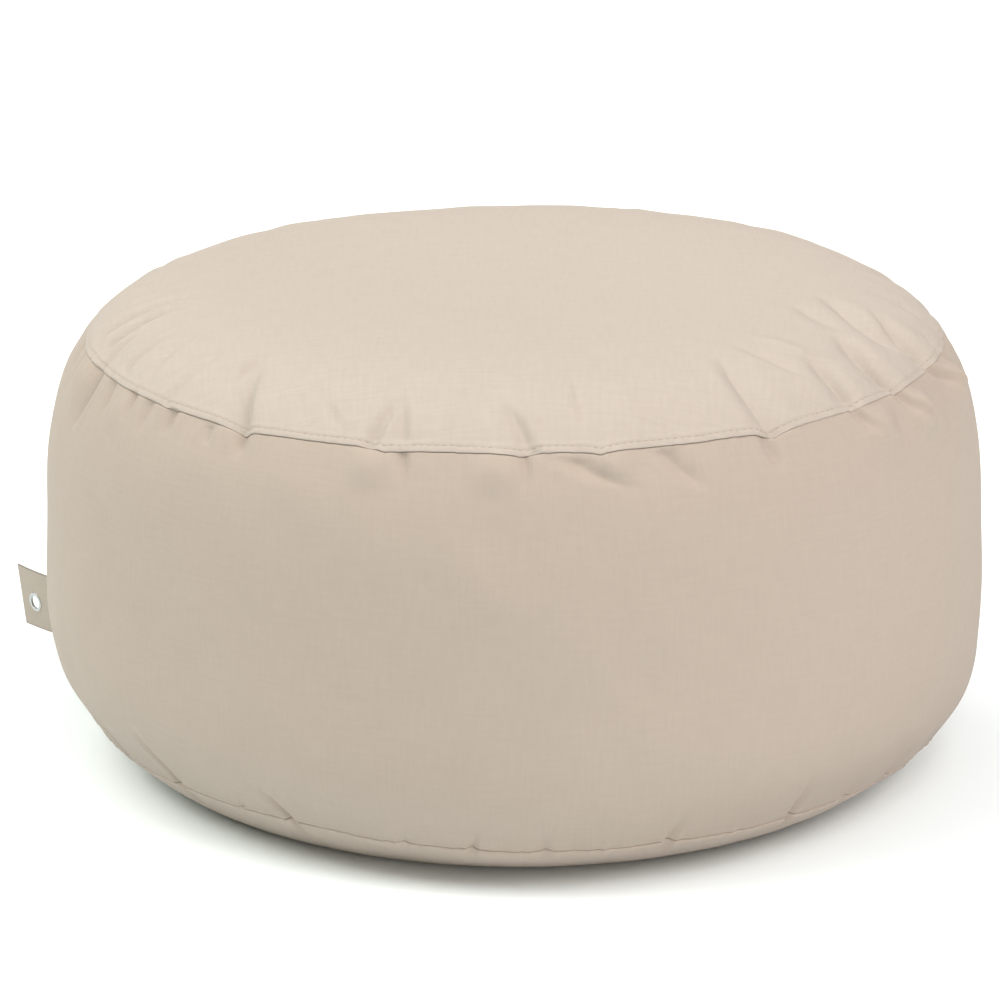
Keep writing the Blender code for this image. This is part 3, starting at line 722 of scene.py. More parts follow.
def feed(socket: NodeSocket, value: object) -> None:
    """Set a socket from a number, a colour, a material or another socket."""
    if isinstance(value, NodeSocket):
        socket.id_data.links.new(value, socket)
    else:
        socket.default_value = value


def add_node(tree: NodeTree, kind: str, feeds: dict, **settings: object) -> Node:
    """Add a node to a tree.

    Args:
        tree: the tree that gets the node.
        kind: the node's type.
        feeds: what each input gets, by the input's name or number.
        settings: the node's own settings.

    Returns:
        The new node.
    """
    node = tree.nodes.new(kind)
    for name, value in settings.items():
        setattr(node, name, value)
    for place, value in feeds.items():
        feed(node.inputs[place], value)
    return node


class NodeBoard:
    """A material's nodes, with short ways to add and join them."""

    def __init__(self, name: str) -> None:
        """Start a material of that name with a Principled shader."""
        self.material = bpy.data.materials.new(name)
        self.material.use_nodes = True
        self.tree = self.material.node_tree
        self.shader = self.tree.nodes["Principled BSDF"]

    def node(self, kind: str, feeds: dict, **settings: object) -> Node:
        """Add a node to the material."""
        return add_node(self.tree, kind, feeds, **settings)

    def surface(self, feeds: dict) -> None:
        """Set the shader's inputs, by their names."""
        for name, value in feeds.items():
            feed(self.shader.inputs[name], value)

    def sum(self, operation: str, a: object, b: object = 0.0) -> NodeSocket:
        """Return the result of a Math node."""
        return self.node("ShaderNodeMath", {0: a, 1: b}, operation=operation).outputs[0]

    def times(self, a: object, b: object) -> NodeSocket:
        """Return the product of two values."""
        return self.sum("MULTIPLY", a, b)

    def less(self, a: object, b: object) -> NodeSocket:
        """Return a less b."""
        return self.sum("SUBTRACT", a, b)

    def plus(self, *terms: object) -> NodeSocket:
        """Return the terms added up, from the first to the last."""
        total = terms[0]
        for term in terms[1:]:
            total = self.sum("ADD", total, term)
        return total

    def uv(self) -> tuple[NodeSocket, NodeSocket, NodeSocket]:
        """Return the cloth map as (vector, across, along), in metres."""
        vector = self.node("ShaderNodeUVMap", {}, uv_map="cloth").outputs[0]
        parts = self.node("ShaderNodeSeparateXYZ", {0: vector})
        return vector, parts.outputs[0], parts.outputs[1]

    def place(self) -> NodeSocket:
        """Return the object's own coordinates."""
        return self.node("ShaderNodeTexCoord", {}).outputs["Object"]

    def stretched(self, vector: NodeSocket, scale: tuple) -> NodeSocket:
        """Return a vector scaled along each axis."""
        return self.node("ShaderNodeMapping", {"Vector": vector, "Scale": scale}).outputs[0]

    def noise(self, vector: NodeSocket, scale: float, detail: float = 2.0) -> NodeSocket:
        """Return noise centred on 0, about 0.5 high each way."""
        node = self.node("ShaderNodeTexNoise", {"Vector": vector, "Scale": scale, "Detail": detail})
        return self.less(node.outputs[0], 0.5)

    def waves(self, distance: object, pitch: float, operation: str = "COSINE") -> NodeSocket:
        """Return a wave of that pitch along a distance, from -1 to 1."""
        return self.sum(operation, self.times(distance, 2 * math.pi / pitch))

    def colour(self, shade: tuple, tone: NodeSocket) -> None:
        """Colour the surface with a shade, made paler or darker by a tone near 1."""
        tint = self.node("ShaderNodeVectorMath", {0: shade, "Scale": tone}, operation="SCALE")
        self.surface({"Base Color": tint.outputs[0]})


@dataclass(frozen=True)
class CanvasFinish:
    """Plain-woven canvas, dyed in one colour.

    shade is the cloth's colour, pitch the distance between its threads, rib
    the distance between its heavier threads, which run as grain says with a
    slant and wander from it, and the rest are how large, how strong or how
    high each unevenness is.
    """

    name: str
    shade: tuple
    pitch: float = 0.95 * MM
    grain: Grain = Grain.UPRIGHT
    rib: float = 2.7 * MM
    rib_slant: float = 0.0
    rib_strength: float = 0.014
    slub: float = 0.075
    slub_count: float = 330.0
    slub_length: float = 30.0
    mottle: float = 0.020
    mottle_scale: float = 900.0
    cloud: float = 0.022
    cloud_scale: float = 5.5
    cloud_detail: float = 3.0
    patch_scale: float = 14.0
    rib_wander: float = 1.6
    wander_scale: float = 60.0
    weave_tone: float = 0.010
    weave_relief: float = 0.18
    slub_relief: float = 0.9
    weave_height: float = 0.10 * MM
    roughness: float = 0.88
    sheen: float = 0.06
    sheen_roughness: float = 0.45
    specular: float = 0.22

    def with_painted_edge_shade(self, board: NodeBoard, tone: NodeSocket, across: NodeSocket, along: NodeSocket) -> NodeSocket:
        """Return the tone with its painted edge shade, of which plain cloth has none."""
        return tone

    def build(self) -> Material:
        """Return the canvas material, with its weave, slubs and soft clouding."""
        board = NodeBoard(self.name)
        vector, across, along = board.uv()
        warp, weft = (board.waves(way, self.pitch) for way in (across, along))
        over = board.times(*(board.waves(way, 2 * self.pitch, "SINE") for way in (across, along)))
        weave = board.plus(warp, weft, board.times(over, 2.0))
        stretches = ((self.slub_length, self.slub_count, 1.0), (self.slub_count, self.slub_length, 1.0))
        slubs = board.plus(*(board.noise(board.stretched(vector, stretch), 1.0) for stretch in stretches))
        patch = board.plus(board.noise(vector, self.patch_scale), 0.5)
        run, other = (along, across) if self.grain is Grain.LEVEL else (across, along)
        slanted = board.plus(run, board.times(other, self.rib_slant))
        wander = board.times(board.noise(vector, self.wander_scale), self.rib * self.rib_wander)
        ribs = board.times(board.waves(board.plus(slanted, wander), self.rib), patch)
        parts = (
            (slubs, self.slub),
            (board.noise(vector, self.mottle_scale, 1.0), self.mottle),
            (ribs, self.rib_strength),
            (weave, self.weave_tone),
            (board.noise(board.place(), self.cloud_scale, self.cloud_detail), self.cloud),
        )
        tone = board.plus(*(board.times(part, strength) for part, strength in parts), 1.0)
        board.colour(self.shade, self.with_painted_edge_shade(board, tone, across, along))
        height = board.plus(board.times(weave, self.weave_relief), board.times(slubs, self.slub_relief))
        bumps = {"Strength": 1.0, "Distance": self.weave_height, "Height": height}
        bump = board.node("ShaderNodeBump", bumps)
        board.surface({
            "Normal": bump.outputs[0],
            "Roughness": self.roughness,
            "Specular IOR Level": self.specular,
            "Sheen Weight": self.sheen,
            "Sheen Roughness": self.sheen_roughness,
        })
        board.material.diffuse_color = (*self.shade, 1.0)
        return board.material


@dataclass(frozen=True)
class StripFinish(CanvasFinish):
    """Canvas folded into a narrow strip, with painted shade along its edges and its fold."""

    width: float = 60.0 * MM
    fold_at: float = 67.0 * MM
    # Within edge_width of each edge and of the fold, painted shade darkens the cloth by up to edge_shade.
    edge_width: float = 1.8 * MM
    edge_shade: float = 0.45

    def with_painted_edge_shade(self, board: NodeBoard, tone: NodeSocket, across: NodeSocket, along: NodeSocket) -> NodeSocket:
        """Return the tone, darker near both edges of the strip and near its fold, as painted shade."""
        to_edge = board.sum("MINIMUM", along, board.less(self.width, along))
        to_fold = board.sum("ABSOLUTE", board.less(across, self.fold_at))
        nearest = board.sum("MINIMUM", to_edge, to_fold)
        near = board.sum("MAXIMUM", board.less(1.0, board.sum("DIVIDE", nearest, self.edge_width)), 0.0)
        return board.times(tone, board.less(1.0, board.times(near, self.edge_shade)))


@dataclass(frozen=True)
class ThreadFinish:
    """Spun sewing thread, with its fine twist."""

    name: str = "sewing_thread"
    shade: tuple = (0.36, 0.29, 0.22)
    fibre: float = 0.16
    fibre_scale: float = 1800.0
    roughness: float = 0.62
    sheen: float = 0.15

    def build(self) -> Material:
        """Return the thread material."""
        board = NodeBoard(self.name)
        fibre = board.noise(board.place(), self.fibre_scale)
        board.colour(self.shade, board.plus(board.times(fibre, self.fibre), 1.0))
        board.surface({"Roughness": self.roughness, "Sheen Weight": self.sheen})
        return board.material


@dataclass(frozen=True)
class EyeletFinish:
    """Plated and polished metal, with faint wear in its colour and its polish."""

    name: str = "eyelet_metal"
    shade: tuple = (0.46, 0.465, 0.46)
    wear: float = 0.05
    wear_scale: float = 700.0
    wear_detail: float = 3.0
    roughness: float = 0.26
    roughness_wear: float = 0.12

    def build(self) -> Material:
        """Return the metal material."""
        board = NodeBoard(self.name)
        wear = board.noise(board.place(), self.wear_scale, self.wear_detail)
        board.colour(self.shade, board.plus(board.times(wear, self.wear), 1.0))
        rough = board.plus(board.times(wear, self.roughness_wear), self.roughness)
        board.surface({"Roughness": rough, "Metallic": 1.0})
        return board.material


# Painted light: the top cloth's shade is set paler than the band's, standing in for the stronger light that
# falls on the top.
TOP_CANVAS = CanvasFinish(
    name="top_cloth",
    shade=(0.403, 0.362, 0.317),
    grain=Grain.LEVEL,
    rib=3.6 * MM,
    rib_slant=0.3,
    slub=0.10,
    slub_count=250.0,
)
BAND_CANVAS = CanvasFinish("band_cloth", (0.378, 0.325, 0.275))
BASE_CANVAS = CanvasFinish("base_cloth", (0.402, 0.343, 0.2915))
TAB_CANVAS = StripFinish("tab_cloth", (0.400, 0.352, 0.298))


# ================================================================ the panels
@dataclass
class TopPanel:
    """The crowned top panel, whose lapped edge is stitched over the band."""

    form: BagForm
    finish: CanvasFinish
    lap_height: float = 0.9 * MM
    lap_width: float = 6.5 * MM
    lap_fade: float = 7.0 * MM
    stitch_line: float = 6.0 * MM
    stitch_sink: float = 0.55 * MM
    stitch_sink_width: float = 1.3 * MM
    columns: int = 1152
    # The rolled edge, as (distance from the seam, height over the cloth) in mm.
    rolled_edge: tuple = (
        (7.0, -1.4), (2.0, -1.2), (0.6, -1.0), (0.1, -0.6), (-0.1, -0.1), (0.0, 0.4), (0.5, 0.8),
    )
    # Rings, as (first and last distance from the seam, step, thinning) in mm;
    # the last zone ends short of the crown.
    zones: tuple = (
        (1.4, 13.0, 0.8, 1), (13.0, 70.0, 2.2, 1), (70.0, 130.0, 3.0, 1),
        (130.0, 230.0, 5.0, 2), (230.0, 330.0, 8.0, 4), (330.0, 385.0, 9.0, 8),
    )
    crown_zone: tuple = (385.0, -4.0, 7.0, 16)
    hub_drop: float = 3.0 * MM

    def lap(self, distance: np.ndarray | float) -> np.ndarray:
        """Return how far the lapped edge stands proud, with its stitch furrow."""
        step = self.lap_height * (1.0 - ease((np.asarray(distance) - self.lap_width) / self.lap_fade))
        furrow = np.exp(-(((distance - self.stitch_line) / self.stitch_sink_width) ** 2))
        return step - self.stitch_sink * furrow

    def arc_at(self, azimuth: np.ndarray, distance: float) -> np.ndarray:
        """Return the arc at a distance up from the wavy seam."""
        share = distance / self.form.crown_length
        return self.form.top_seam_arc(azimuth) * (1.0 - share) + distance

    def ring(self, skin: ClothSkin, count: int, distance: float, lift: float) -> None:
        """Add one ring of the panel to its skin."""
        azimuth = even_azimuths(count)
        arc = self.arc_at(azimuth, distance)
        cloth_uv = np.stack(on_circle(azimuth, self.form.crown_length - arc), axis=1)
        skin.add_ring(self.form.points(azimuth, arc, lift * self.form.edge_share(azimuth)), cloth_uv)

    def build(self) -> Object:
        """Return the finished panel."""
        skin = ClothSkin("cover_top")
        for distance, lift in self.rolled_edge:
            self.ring(skin, self.columns, distance * MM, lift * MM)
        first, short, step, thinning = self.crown_zone
        crown_zone = (first, self.form.crown_length / MM + short, step, thinning)
        for first, last, step, thinning in (*self.zones, crown_zone):
            for row in rows_between(first, last, step):
                self.ring(skin, self.columns // thinning, row * MM, float(self.lap(row * MM)))
        skin.add_hub((0.0, 0.0, self.form.height), (0.0, 0.0))
        seam_height = self.form.top_seam[1]
        skin.add_hub((0.0, 0.0, seam_height + self.hub_drop), (0.0, 0.0), first=True)
        panel = skin.to_object()
        panel.data.materials.append(self.finish.build())
        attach(panel, BODY)
        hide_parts("top_panel")
        return panel

    def stitch_path(self, step_degrees: float) -> np.ndarray:
        """Return the path of the topstitching, just over the furrow's bottom."""
        azimuth = np.arange(-180.0, 180.0, step_degrees)
        arc = self.arc_at(azimuth, self.stitch_line)
        lift = float(self.lap(self.stitch_line)) * self.form.edge_share(azimuth)
        return self.form.points(azimuth, arc, lift)


@dataclass
class SideBand:
    """The side band, tucked under the top panel's edge and into the base seam."""

    form: BagForm
    finish: CanvasFinish
    columns: int = 1152
    # Tucked edges, as (distance down from the seam, depth under the cloth) in mm.
    upper_edge: tuple = (
        (-1.5, -6.5), (-1.5, -3.6), (-0.6, -2.0), (0.0, -1.1), (0.4, -0.5), (1.0, -0.15), (2.2, 0.0),
    )
    # (distance up from the base seam, depth under the cloth) in mm.
    lower_edge: tuple = (
        (7.0, -0.15), (5.0, -0.55), (3.6, -0.2), (2.2, -0.2), (1.0, -0.5), (0.3, -1.3), (0.2, -6.0),
    )
    # Rings, as (first and last distance down from the top seam, step, thinning)
    # in mm; the last zone ends short of the base seam.
    zones: tuple = (
        (4.2, 62.0, 1.9, 1), (62.0, 120.0, 4.5, 2), (120.0, 285.0, 6.0, 2), (285.0, 340.0, 2.8, 1),
    )
    base_zone: tuple = (340.0, -8.0, 1.9, 1)
    closing_seam: float = -95.0
    closing_depth: float = 1.6 * MM
    closing_width: float = 5.0 * MM
    closing_rounding: float = 0.6 * MM
    hub_inset: float = 4.0 * MM

    def ring(self, skin: ClothSkin, count: int, distance: float, lift: float) -> None:
        """Add one ring of the band, at a distance down from the top seam."""
        azimuth = even_azimuths(count)
        share = distance / self.form.band_length
        low_wave = self.form.base_seam_arc(azimuth) + self.form.band_length
        arc = self.form.top_seam_arc(azimuth) * (1.0 - share) + low_wave * share - distance
        radius = self.form.diameter / 2
        offset = cloth_across(azimuth, self.closing_seam, radius)
        section = valley(offset, self.closing_width, self.closing_width, self.closing_rounding)
        groove = self.closing_depth * section
        cloth_uv = np.stack([np.radians(azimuth) * radius, arc], axis=1)
        if distance <= self.upper_edge[-1][0] * MM:
            lift = lift * self.form.edge_share(azimuth)
        skin.add_ring(self.form.points(azimuth, arc, lift - groove), cloth_uv)

    def build(self) -> Object:
        """Return the finished band."""
        skin = ClothSkin("cover_band")
        length = self.form.band_length / MM
        rows = [(distance, lift, 1) for distance, lift in self.upper_edge]
        first, short, step, thinning = self.base_zone
        for first, last, step, thinning in (*self.zones, (first, length + short, step, thinning)):
            rows += [(row, 0.0, thinning) for row in rows_between(first, last, step)]
        rows += [(length - up, lift, 1) for up, lift in self.lower_edge]
        for distance, lift, thinning in rows:
            self.ring(skin, self.columns // thinning, distance * MM, lift * MM)
        skin.add_hub((0.0, 0.0, self.form.base_seam[1] + self.hub_inset), (0.0, 0.0))
        skin.add_hub((0.0, 0.0, self.form.top_seam[1] - self.hub_inset), (0.0, 0.0), first=True)
        skin.turn_over()
        band = skin.to_object(uv_period=math.pi * self.form.diameter)
        band.data.materials.append(self.finish.build())
        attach(band, BODY)
        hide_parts("side_band")
        return band


@dataclass
class BasePanel:
    """The base panel, which turns under to the flat spot that it rests on."""

    form: BagForm
    finish: CanvasFinish
    columns: int = 1152
    # Tucked edge, as (distance down from the base seam, depth) in mm.
    upper_edge: tuple = ((0.2, -6.0), (0.4, -1.4), (1.2, -0.6), (2.6, -0.2), (4.2, 0.0))
    first_row: float = 6.0
    row_step: float = 2.2
    flat_rings: tuple = (0.300, 0.255, 0.205, 0.150, 0.095, 0.045)
    fewest_columns: int = 70
    hub_inset: float = 4.0 * MM

    def ring(self, skin: ClothSkin, distance: float, lift: float) -> None:
        """Add one ring of the panel, at a distance down from the base seam."""
        azimuth = even_azimuths(self.columns)
        share = distance / self.form.base_length
        wave = (self.form.base_seam_arc(azimuth) + self.form.band_length) * (1.0 - share)
        points = self.form.points(azimuth, wave - self.form.band_length - distance, lift)
        skin.add_ring(points, points[:, :2].copy())

    def build(self) -> Object:
        """Return the finished panel."""
        skin = ClothSkin("cover_base")
        for distance, lift in self.upper_edge:
            self.ring(skin, distance * MM, lift * MM)
        for row in rows_between(self.first_row, self.form.base_length / MM, self.row_step):
            self.ring(skin, row * MM, 0.0)
        self.ring(skin, self.form.base_length, 0.0)
        count = self.columns
        for radius in self.flat_rings:
            count = count // 2 if count % 2 == 0 and count > self.fewest_columns else count
            flat = np.stack([*on_circle(even_azimuths(count), radius), np.zeros(count)], axis=1)
            skin.add_ring(flat, flat[:, :2].copy())
        skin.add_hub((0.0, 0.0, 0.0), (0.0, 0.0))
        skin.add_hub((0.0, 0.0, self.form.base_seam[1] - self.hub_inset), (0.0, 0.0), first=True)
        skin.turn_over()
        panel = skin.to_object()
        panel.data.materials.append(self.finish.build())
        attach(panel, BODY)
        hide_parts("base_panel")
        return panel


# ================================================================ stitches
@dataclass
class Topstitching:
    """The row of stitches that holds the top panel's lapped edge down."""

    top: TopPanel
    finish: ThreadFinish
    pitch: float = 6.8 * MM
    length: float = 4.6 * MM
    thread_radius: float = 0.42 * MM
    unevenness: float = 0.10
    seed: int = 11
    path_step: float = 0.25
    bead_segments: int = 6
    bead_rings: int = 5

    def build_tree(self) -> GeometryNodeTree:
        """Return the node tree that lays one stitch at each pitch along a path.

        Returns:
            The tree, with inputs for the path, pitch, length, radius,
            unevenness, seed and thread material.
        """
        tree = bpy.data.node_groups.new("topstitch_row", "GeometryNodeTree")
        face = tree.interface
        face.new_socket("Path", in_out="INPUT", socket_type="NodeSocketGeometry")
        for name in ("Pitch", "Stitch Length", "Thread Radius", "Unevenness"):
            face.new_socket(name, in_out="INPUT", socket_type="NodeSocketFloat")
        face.new_socket("Seed", in_out="INPUT", socket_type="NodeSocketInt")
        face.new_socket("Thread", in_out="INPUT", socket_type="NodeSocketMaterial")
        face.new_socket("Stitches", in_out="OUTPUT", socket_type="NodeSocketGeometry")
        add = partial(add_node, tree)
        given = add("NodeGroupInput", {}).outputs
        path = {"Curve": given["Path"], "Length": given["Pitch"]}
        spread = add("GeometryNodeCurveToPoints", path, mode="LENGTH")

        # One stitch: a bead drawn out along its own axis.
        beads = {"Segments": self.bead_segments, "Rings": self.bead_rings, "Radius": 1.0}
        bead = add("GeometryNodeMeshUVSphere", beads)
        half = add("ShaderNodeMath", {0: given["Stitch Length"], 1: 0.5}, operation="MULTIPLY")
        thick = given["Thread Radius"]
        shape = add("ShaderNodeCombineXYZ", {"X": thick, "Y": thick, "Z": half.outputs[0]})
        stitch = add("GeometryNodeTransform", {"Geometry": bead.outputs["Mesh"], "Scale": shape.outputs[0]})

        # A stitch at each point, turned along the path and a little uneven in size.
        turn = add("FunctionNodeAlignRotationToVector", {"Vector": spread.outputs["Tangent"]}, axis="Z")
        low = add("ShaderNodeMath", {0: 1.0, 1: given["Unevenness"]}, operation="SUBTRACT")
        sizes = {2: low.outputs[0], 3: 1.0, "Seed": given["Seed"]}
        size = add("FunctionNodeRandomValue", sizes, data_type="FLOAT")
        laid = add("GeometryNodeInstanceOnPoints", {
            "Points": spread.outputs["Points"],
            "Instance": stitch.outputs[0],
            "Rotation": turn.outputs[0],
            "Scale": size.outputs[1],
        })

        real = add("GeometryNodeRealizeInstances", {0: laid.outputs[0]})
        dressed = add("GeometryNodeSetMaterial", {"Geometry": real.outputs[0], "Material": given["Thread"]})
        add("NodeGroupOutput", {"Stitches": dressed.outputs[0]})
        return tree

    def build_path(self) -> Object:
        """Return the closed path of the stitches as a curve object."""
        points = self.top.stitch_path(self.path_step)
        curve = bpy.data.curves.new("topstitch_path", "CURVE")
        curve.dimensions = "3D"
        line = curve.splines.new("POLY")
        line.points.add(len(points) - 1)
        weighted = np.column_stack([points, np.ones(len(points))])
        line.points.foreach_set("co", weighted.astype(np.float32).ravel())
        line.use_cyclic_u = True
        return linked("topstitch_path", curve)

    def build(self) -> Object:
        """Return the whole row of stitches as one mesh."""
        path, tree = self.build_path(), self.build_tree()
        values = {
            "Pitch": self.pitch, "Stitch Length": self.length, "Thread Radius": self.thread_radius,
            "Unevenness": self.unevenness, "Seed": self.seed, "Thread": self.finish.build(),
        }
        modifier = path.modifiers.new("topstitch_row", "NODES")
        modifier.node_group = tree
        for item in tree.interface.items_tree:
            if item.in_out == "INPUT" and item.name in values:
                modifier[item.identifier] = values[item.name]
        stitches = made_plain(path, "topstitching")
        stitches.data.shade_smooth()
        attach(stitches, BODY)
        return stitches


# ================================================================ tab
@dataclass
class TabForm:
    """The place of the folded tab, which is sewn to the band's left side.

    sweep turns it from the left to the rear, in degrees, sweep_gain is what
    its bottom edge adds to that, and bow bends its middle to the front.
    """

    form: BagForm
    cloth: float = 0.55 * MM
    layer_gap: float = 0.2 * MM
    width: float = 60.0 * MM
    length: float = 64.0 * MM
    root_azimuth: float = -95.0
    root_gap: float = 0.6 * MM
    sweep: float = 49.0
    sweep_gain: float = -4.0
    bow: float = 1.4 * MM
    top_height: float = 0.1475
    eyelet_from_fold: float = 24.6 * MM
    eyelet_down: float = 0.55
    root_tries: int = 8
    root_steps: int = 13
    root_downs: np.ndarray = field(init=False)
    root_line: np.ndarray = field(init=False)

    def __post_init__(self) -> None:
        """Find the root on the band's outside, from its top down."""
        self.root_downs = np.linspace(0.0, self.width, self.root_steps)
        arc = np.full(self.root_steps, -self.form.band_length / 2)
        azimuth = np.full(self.root_steps, self.root_azimuth)
        for _ in range(self.root_tries):
            points = self.form.points(azimuth, arc)
            arc += self.top_height - self.root_downs - points[:, 2]
        stand = self.root_gap + self.cloth + self.layer_gap
        angle = math.radians(self.root_azimuth)
        self.root_line = points + stand * np.array([math.sin(angle), -math.cos(angle), 0.0])

    def root(self, down: float) -> Vector:
        """Return the middle of the root, just off the band, that far down the tab."""
        return Vector([float(np.interp(down, self.root_downs, self.root_line[:, axis])) for axis in range(3)])

    def point(self, along: float, down: float, off: float) -> Vector:
        """Return a point of the tab.

        Args:
            along: distance from the root to the fold.
            down: distance from the top edge.
            off: distance in front of the tab's middle plane.

        Returns:
            The point.
        """
        share_down, share_along = down / self.width, along / self.length
        straight = self.root(0.0).lerp(self.root(self.width), share_down)
        start = self.root(down).lerp(straight, max(share_along, 0.0))
        sweep = math.radians(self.sweep + self.sweep_gain * share_down)
        run = Vector((-math.cos(sweep), math.sin(sweep), 0.0))
        front = Vector((-math.sin(sweep), -math.cos(sweep), 0.0))
        bow = self.bow * math.sin(math.pi * max(share_along, 0.0))
        return start + run * along + front * (off + bow)

    def eyelet_axes(self) -> tuple[Vector, Vector, Vector, Vector]:
        """Return the eyelet's centre, its axis to the front and its two spokes."""
        along, down = self.length - self.eyelet_from_fold, self.width * self.eyelet_down
        centre = self.point(along, down, 0.0)
        side_step = self.point(along + MM, down, 0.0) - self.point(along - MM, down, 0.0)
        down_step = self.point(along, down + MM, 0.0) - self.point(along, down - MM, 0.0)
        axis = down_step.cross(side_step).normalized()
        across = axis.cross(Vector((0.0, 0.0, 1.0))).normalized()
        return centre, axis, across, across.cross(axis)

    def eyelet_spokes(self, count: int) -> list[Vector]:
        """Return that many even directions around the eyelet's axis."""
        across, up = self.eyelet_axes()[2:]
        angles = [2 * math.pi * i / count for i in range(count)]
        return [across * math.cos(angle) + up * math.sin(angle) for angle in angles]


@dataclass
class FoldedTab:
    """The tab itself: one strip of the cloth, folded double, with a hole."""

    place: TabForm
    finish: CanvasFinish
    hole_radius: float = 7.0 * MM
    hole_points: int = 48
    punch_reach: float = 10.0 * MM
    tuck: float = 3.0 * MM
    edge_roll: float = 0.15 * MM
    edge_inset: float = 0.5 * MM
    steps_along: int = 22
    steps_down: int = 24
    fold_angles: tuple = (67.5, 45.0, 22.5, 0.0, -22.5, -45.0, -67.5)
    sharp_angle: float = 50.0

    def section(self) -> tuple[list, list]:
        """Return the folded strip's outer and inner lines as (along, off) pairs."""
        inner, outer = self.place.layer_gap / 2, self.place.layer_gap / 2 + self.place.cloth
        turn = self.place.length - outer
        flat = [-self.tuck + (turn + self.tuck) * i / self.steps_along for i in range(self.steps_along + 1)]
        angles = [math.radians(angle) for angle in self.fold_angles]
        lines = []
        for off in (outer, inner):
            fold = [(turn + off * math.cos(a), off * math.sin(a)) for a in angles]
            lines.append([(s, off) for s in flat] + fold + [(s, -off) for s in reversed(flat)])
        return lines[0], lines[1]

    def strip_faces(self, count: int, rows: int) -> list[tuple]:
        """Return the faces of the strip's closed mesh.

        Args:
            count: how many points the outer line has, and the inner one too.
            rows: how many rows of both lines there are, from the top edge down.

        Returns:
            A tuple of point numbers for each face.
        """
        row = 2 * count
        last = row * (rows - 1)
        faces = []
        for a in range(0, last, row):
            b = a + row
            for j in range(count - 1):
                faces.append((a + j, a + j + 1, b + j + 1, b + j))
                faces.append((a + count + j + 1, a + count + j, b + count + j, b + count + j + 1))
            faces.append((a + count, a, b, b + count))
            faces.append((a + count - 1, a + row - 1, b + row - 1, b + count - 1))
        for j in range(count - 1):
            faces.append((j, count + j, count + j + 1, j + 1))
            faces.append((last + j, last + j + 1, last + count + j + 1, last + count + j))
        return faces

    def build_strip(self) -> Object:
        """Return the folded strip without its hole."""
        outer, inner = self.section()
        width, inset = self.place.width, self.edge_inset
        downs = [width * i / self.steps_down for i in range(1, self.steps_down)]
        downs = [0.0, inset, *downs, width - inset, width]
        walked = [0.0]
        for a, b in zip(outer, outer[1:]):
            walked.append(walked[-1] + math.hypot(b[0] - a[0], b[1] - a[1]))
        points, cloth_uv = [], []
        for down in downs:
            roll = self.edge_roll if down in (0.0, width) else 0.0
            for line, side in ((outer, -roll), (inner, roll)):
                for (along, off), run in zip(line, walked):
                    points.append(self.place.point(along, down, off + (side if off > 0 else -side)))
                    cloth_uv.append((run, down))
        faces = self.strip_faces(len(outer), len(downs))
        strip = mesh_piece("tab_strip", points, faces)
        lay_cloth_map(strip.data, np.array([cloth_uv[corner] for face in faces for corner in face]))
        return strip

    def build_punch(self) -> Object:
        """Return the round punch that cuts the hole."""
        centre, axis = self.place.eyelet_axes()[:2]
        n = self.hole_points
        spokes = self.place.eyelet_spokes(n)
        ends = []
        for off in (-self.punch_reach, self.punch_reach):
            ends += [centre + spoke * self.hole_radius + axis * off for spoke in spokes]
        faces = [(i, (i + 1) % n, n + (i + 1) % n, n + i) for i in range(n)]
        faces += [tuple(reversed(range(n))), tuple(range(n, 2 * n))]
        return mesh_piece("tab_punch", ends, faces)

    def build(self) -> Object:
        """Return the finished tab."""
        strip, punch = self.build_strip(), self.build_punch()
        recalculate_normals(strip)
        recalculate_normals(punch)
        cut = strip.modifiers.new("hole", "BOOLEAN")
        cut.operation = "DIFFERENCE"
        cut.solver = "EXACT"
        cut.object = punch
        tab = made_plain(strip, "tab_folded")
        bpy.data.objects.remove(punch, do_unlink=True)
        tab.data.materials.clear()
        tab.data.materials.append(self.finish.build())
        tab.data.shade_smooth()
        tab.data.set_sharp_from_angle(angle=math.radians(self.sharp_angle))
        return tab


@dataclass
class Eyelet:
    """The metal eyelet: a barrel rolled over into a flange on both faces."""

    place: TabForm
    finish: EyeletFinish
    hole: float = 6.5 * MM
    barrel: float = 6.8 * MM
    rim: float = 9.8 * MM
    flange: float = 0.5 * MM
    clearance: float = 0.1 * MM
    barrel_flare: float = 0.3 * MM
    barrel_sink: float = 0.2 * MM
    roll_power: float = 0.8
    segments: int = 72
    roll_steps: int = 12

    def section(self) -> list:
        """Return half of the turned section as (radius, off) pairs."""
        face = self.place.layer_gap / 2 + self.place.cloth + self.clearance
        middle = (self.hole + self.rim) / 2
        half_wide = (self.rim - self.hole) / 2
        roll = []
        for i in range(self.roll_steps + 1):
            angle = math.pi * (1.0 - i / self.roll_steps)
            raised = self.flange * math.sin(angle) ** self.roll_power
            roll.append((middle + half_wide * math.cos(angle), face + raised))
        inner = [(self.barrel + self.barrel_flare, face), (self.barrel, face - self.barrel_sink)]
        return [(self.hole, 0.0)] + roll + inner

    def build(self) -> Object:
        """Return the finished eyelet."""
        centre, axis = self.place.eyelet_axes()[:2]
        front = self.section()
        outline = front + [(radius, -off) for radius, off in reversed(front[1:])]
        points, faces = [], []
        count = len(outline)
        for i, spoke in enumerate(self.place.eyelet_spokes(self.segments)):
            points += [centre + spoke * radius + axis * off for radius, off in outline]
            a, b = i * count, (i + 1) % self.segments * count
            faces += [(a + j, a + (j + 1) % count, b + (j + 1) % count, b + j) for j in range(count)]
        ring = mesh_piece("eyelet_ring", points, faces)
        recalculate_normals(ring)
        ring.data.shade_smooth()
        ring.data.materials.append(self.finish.build())
        return ring


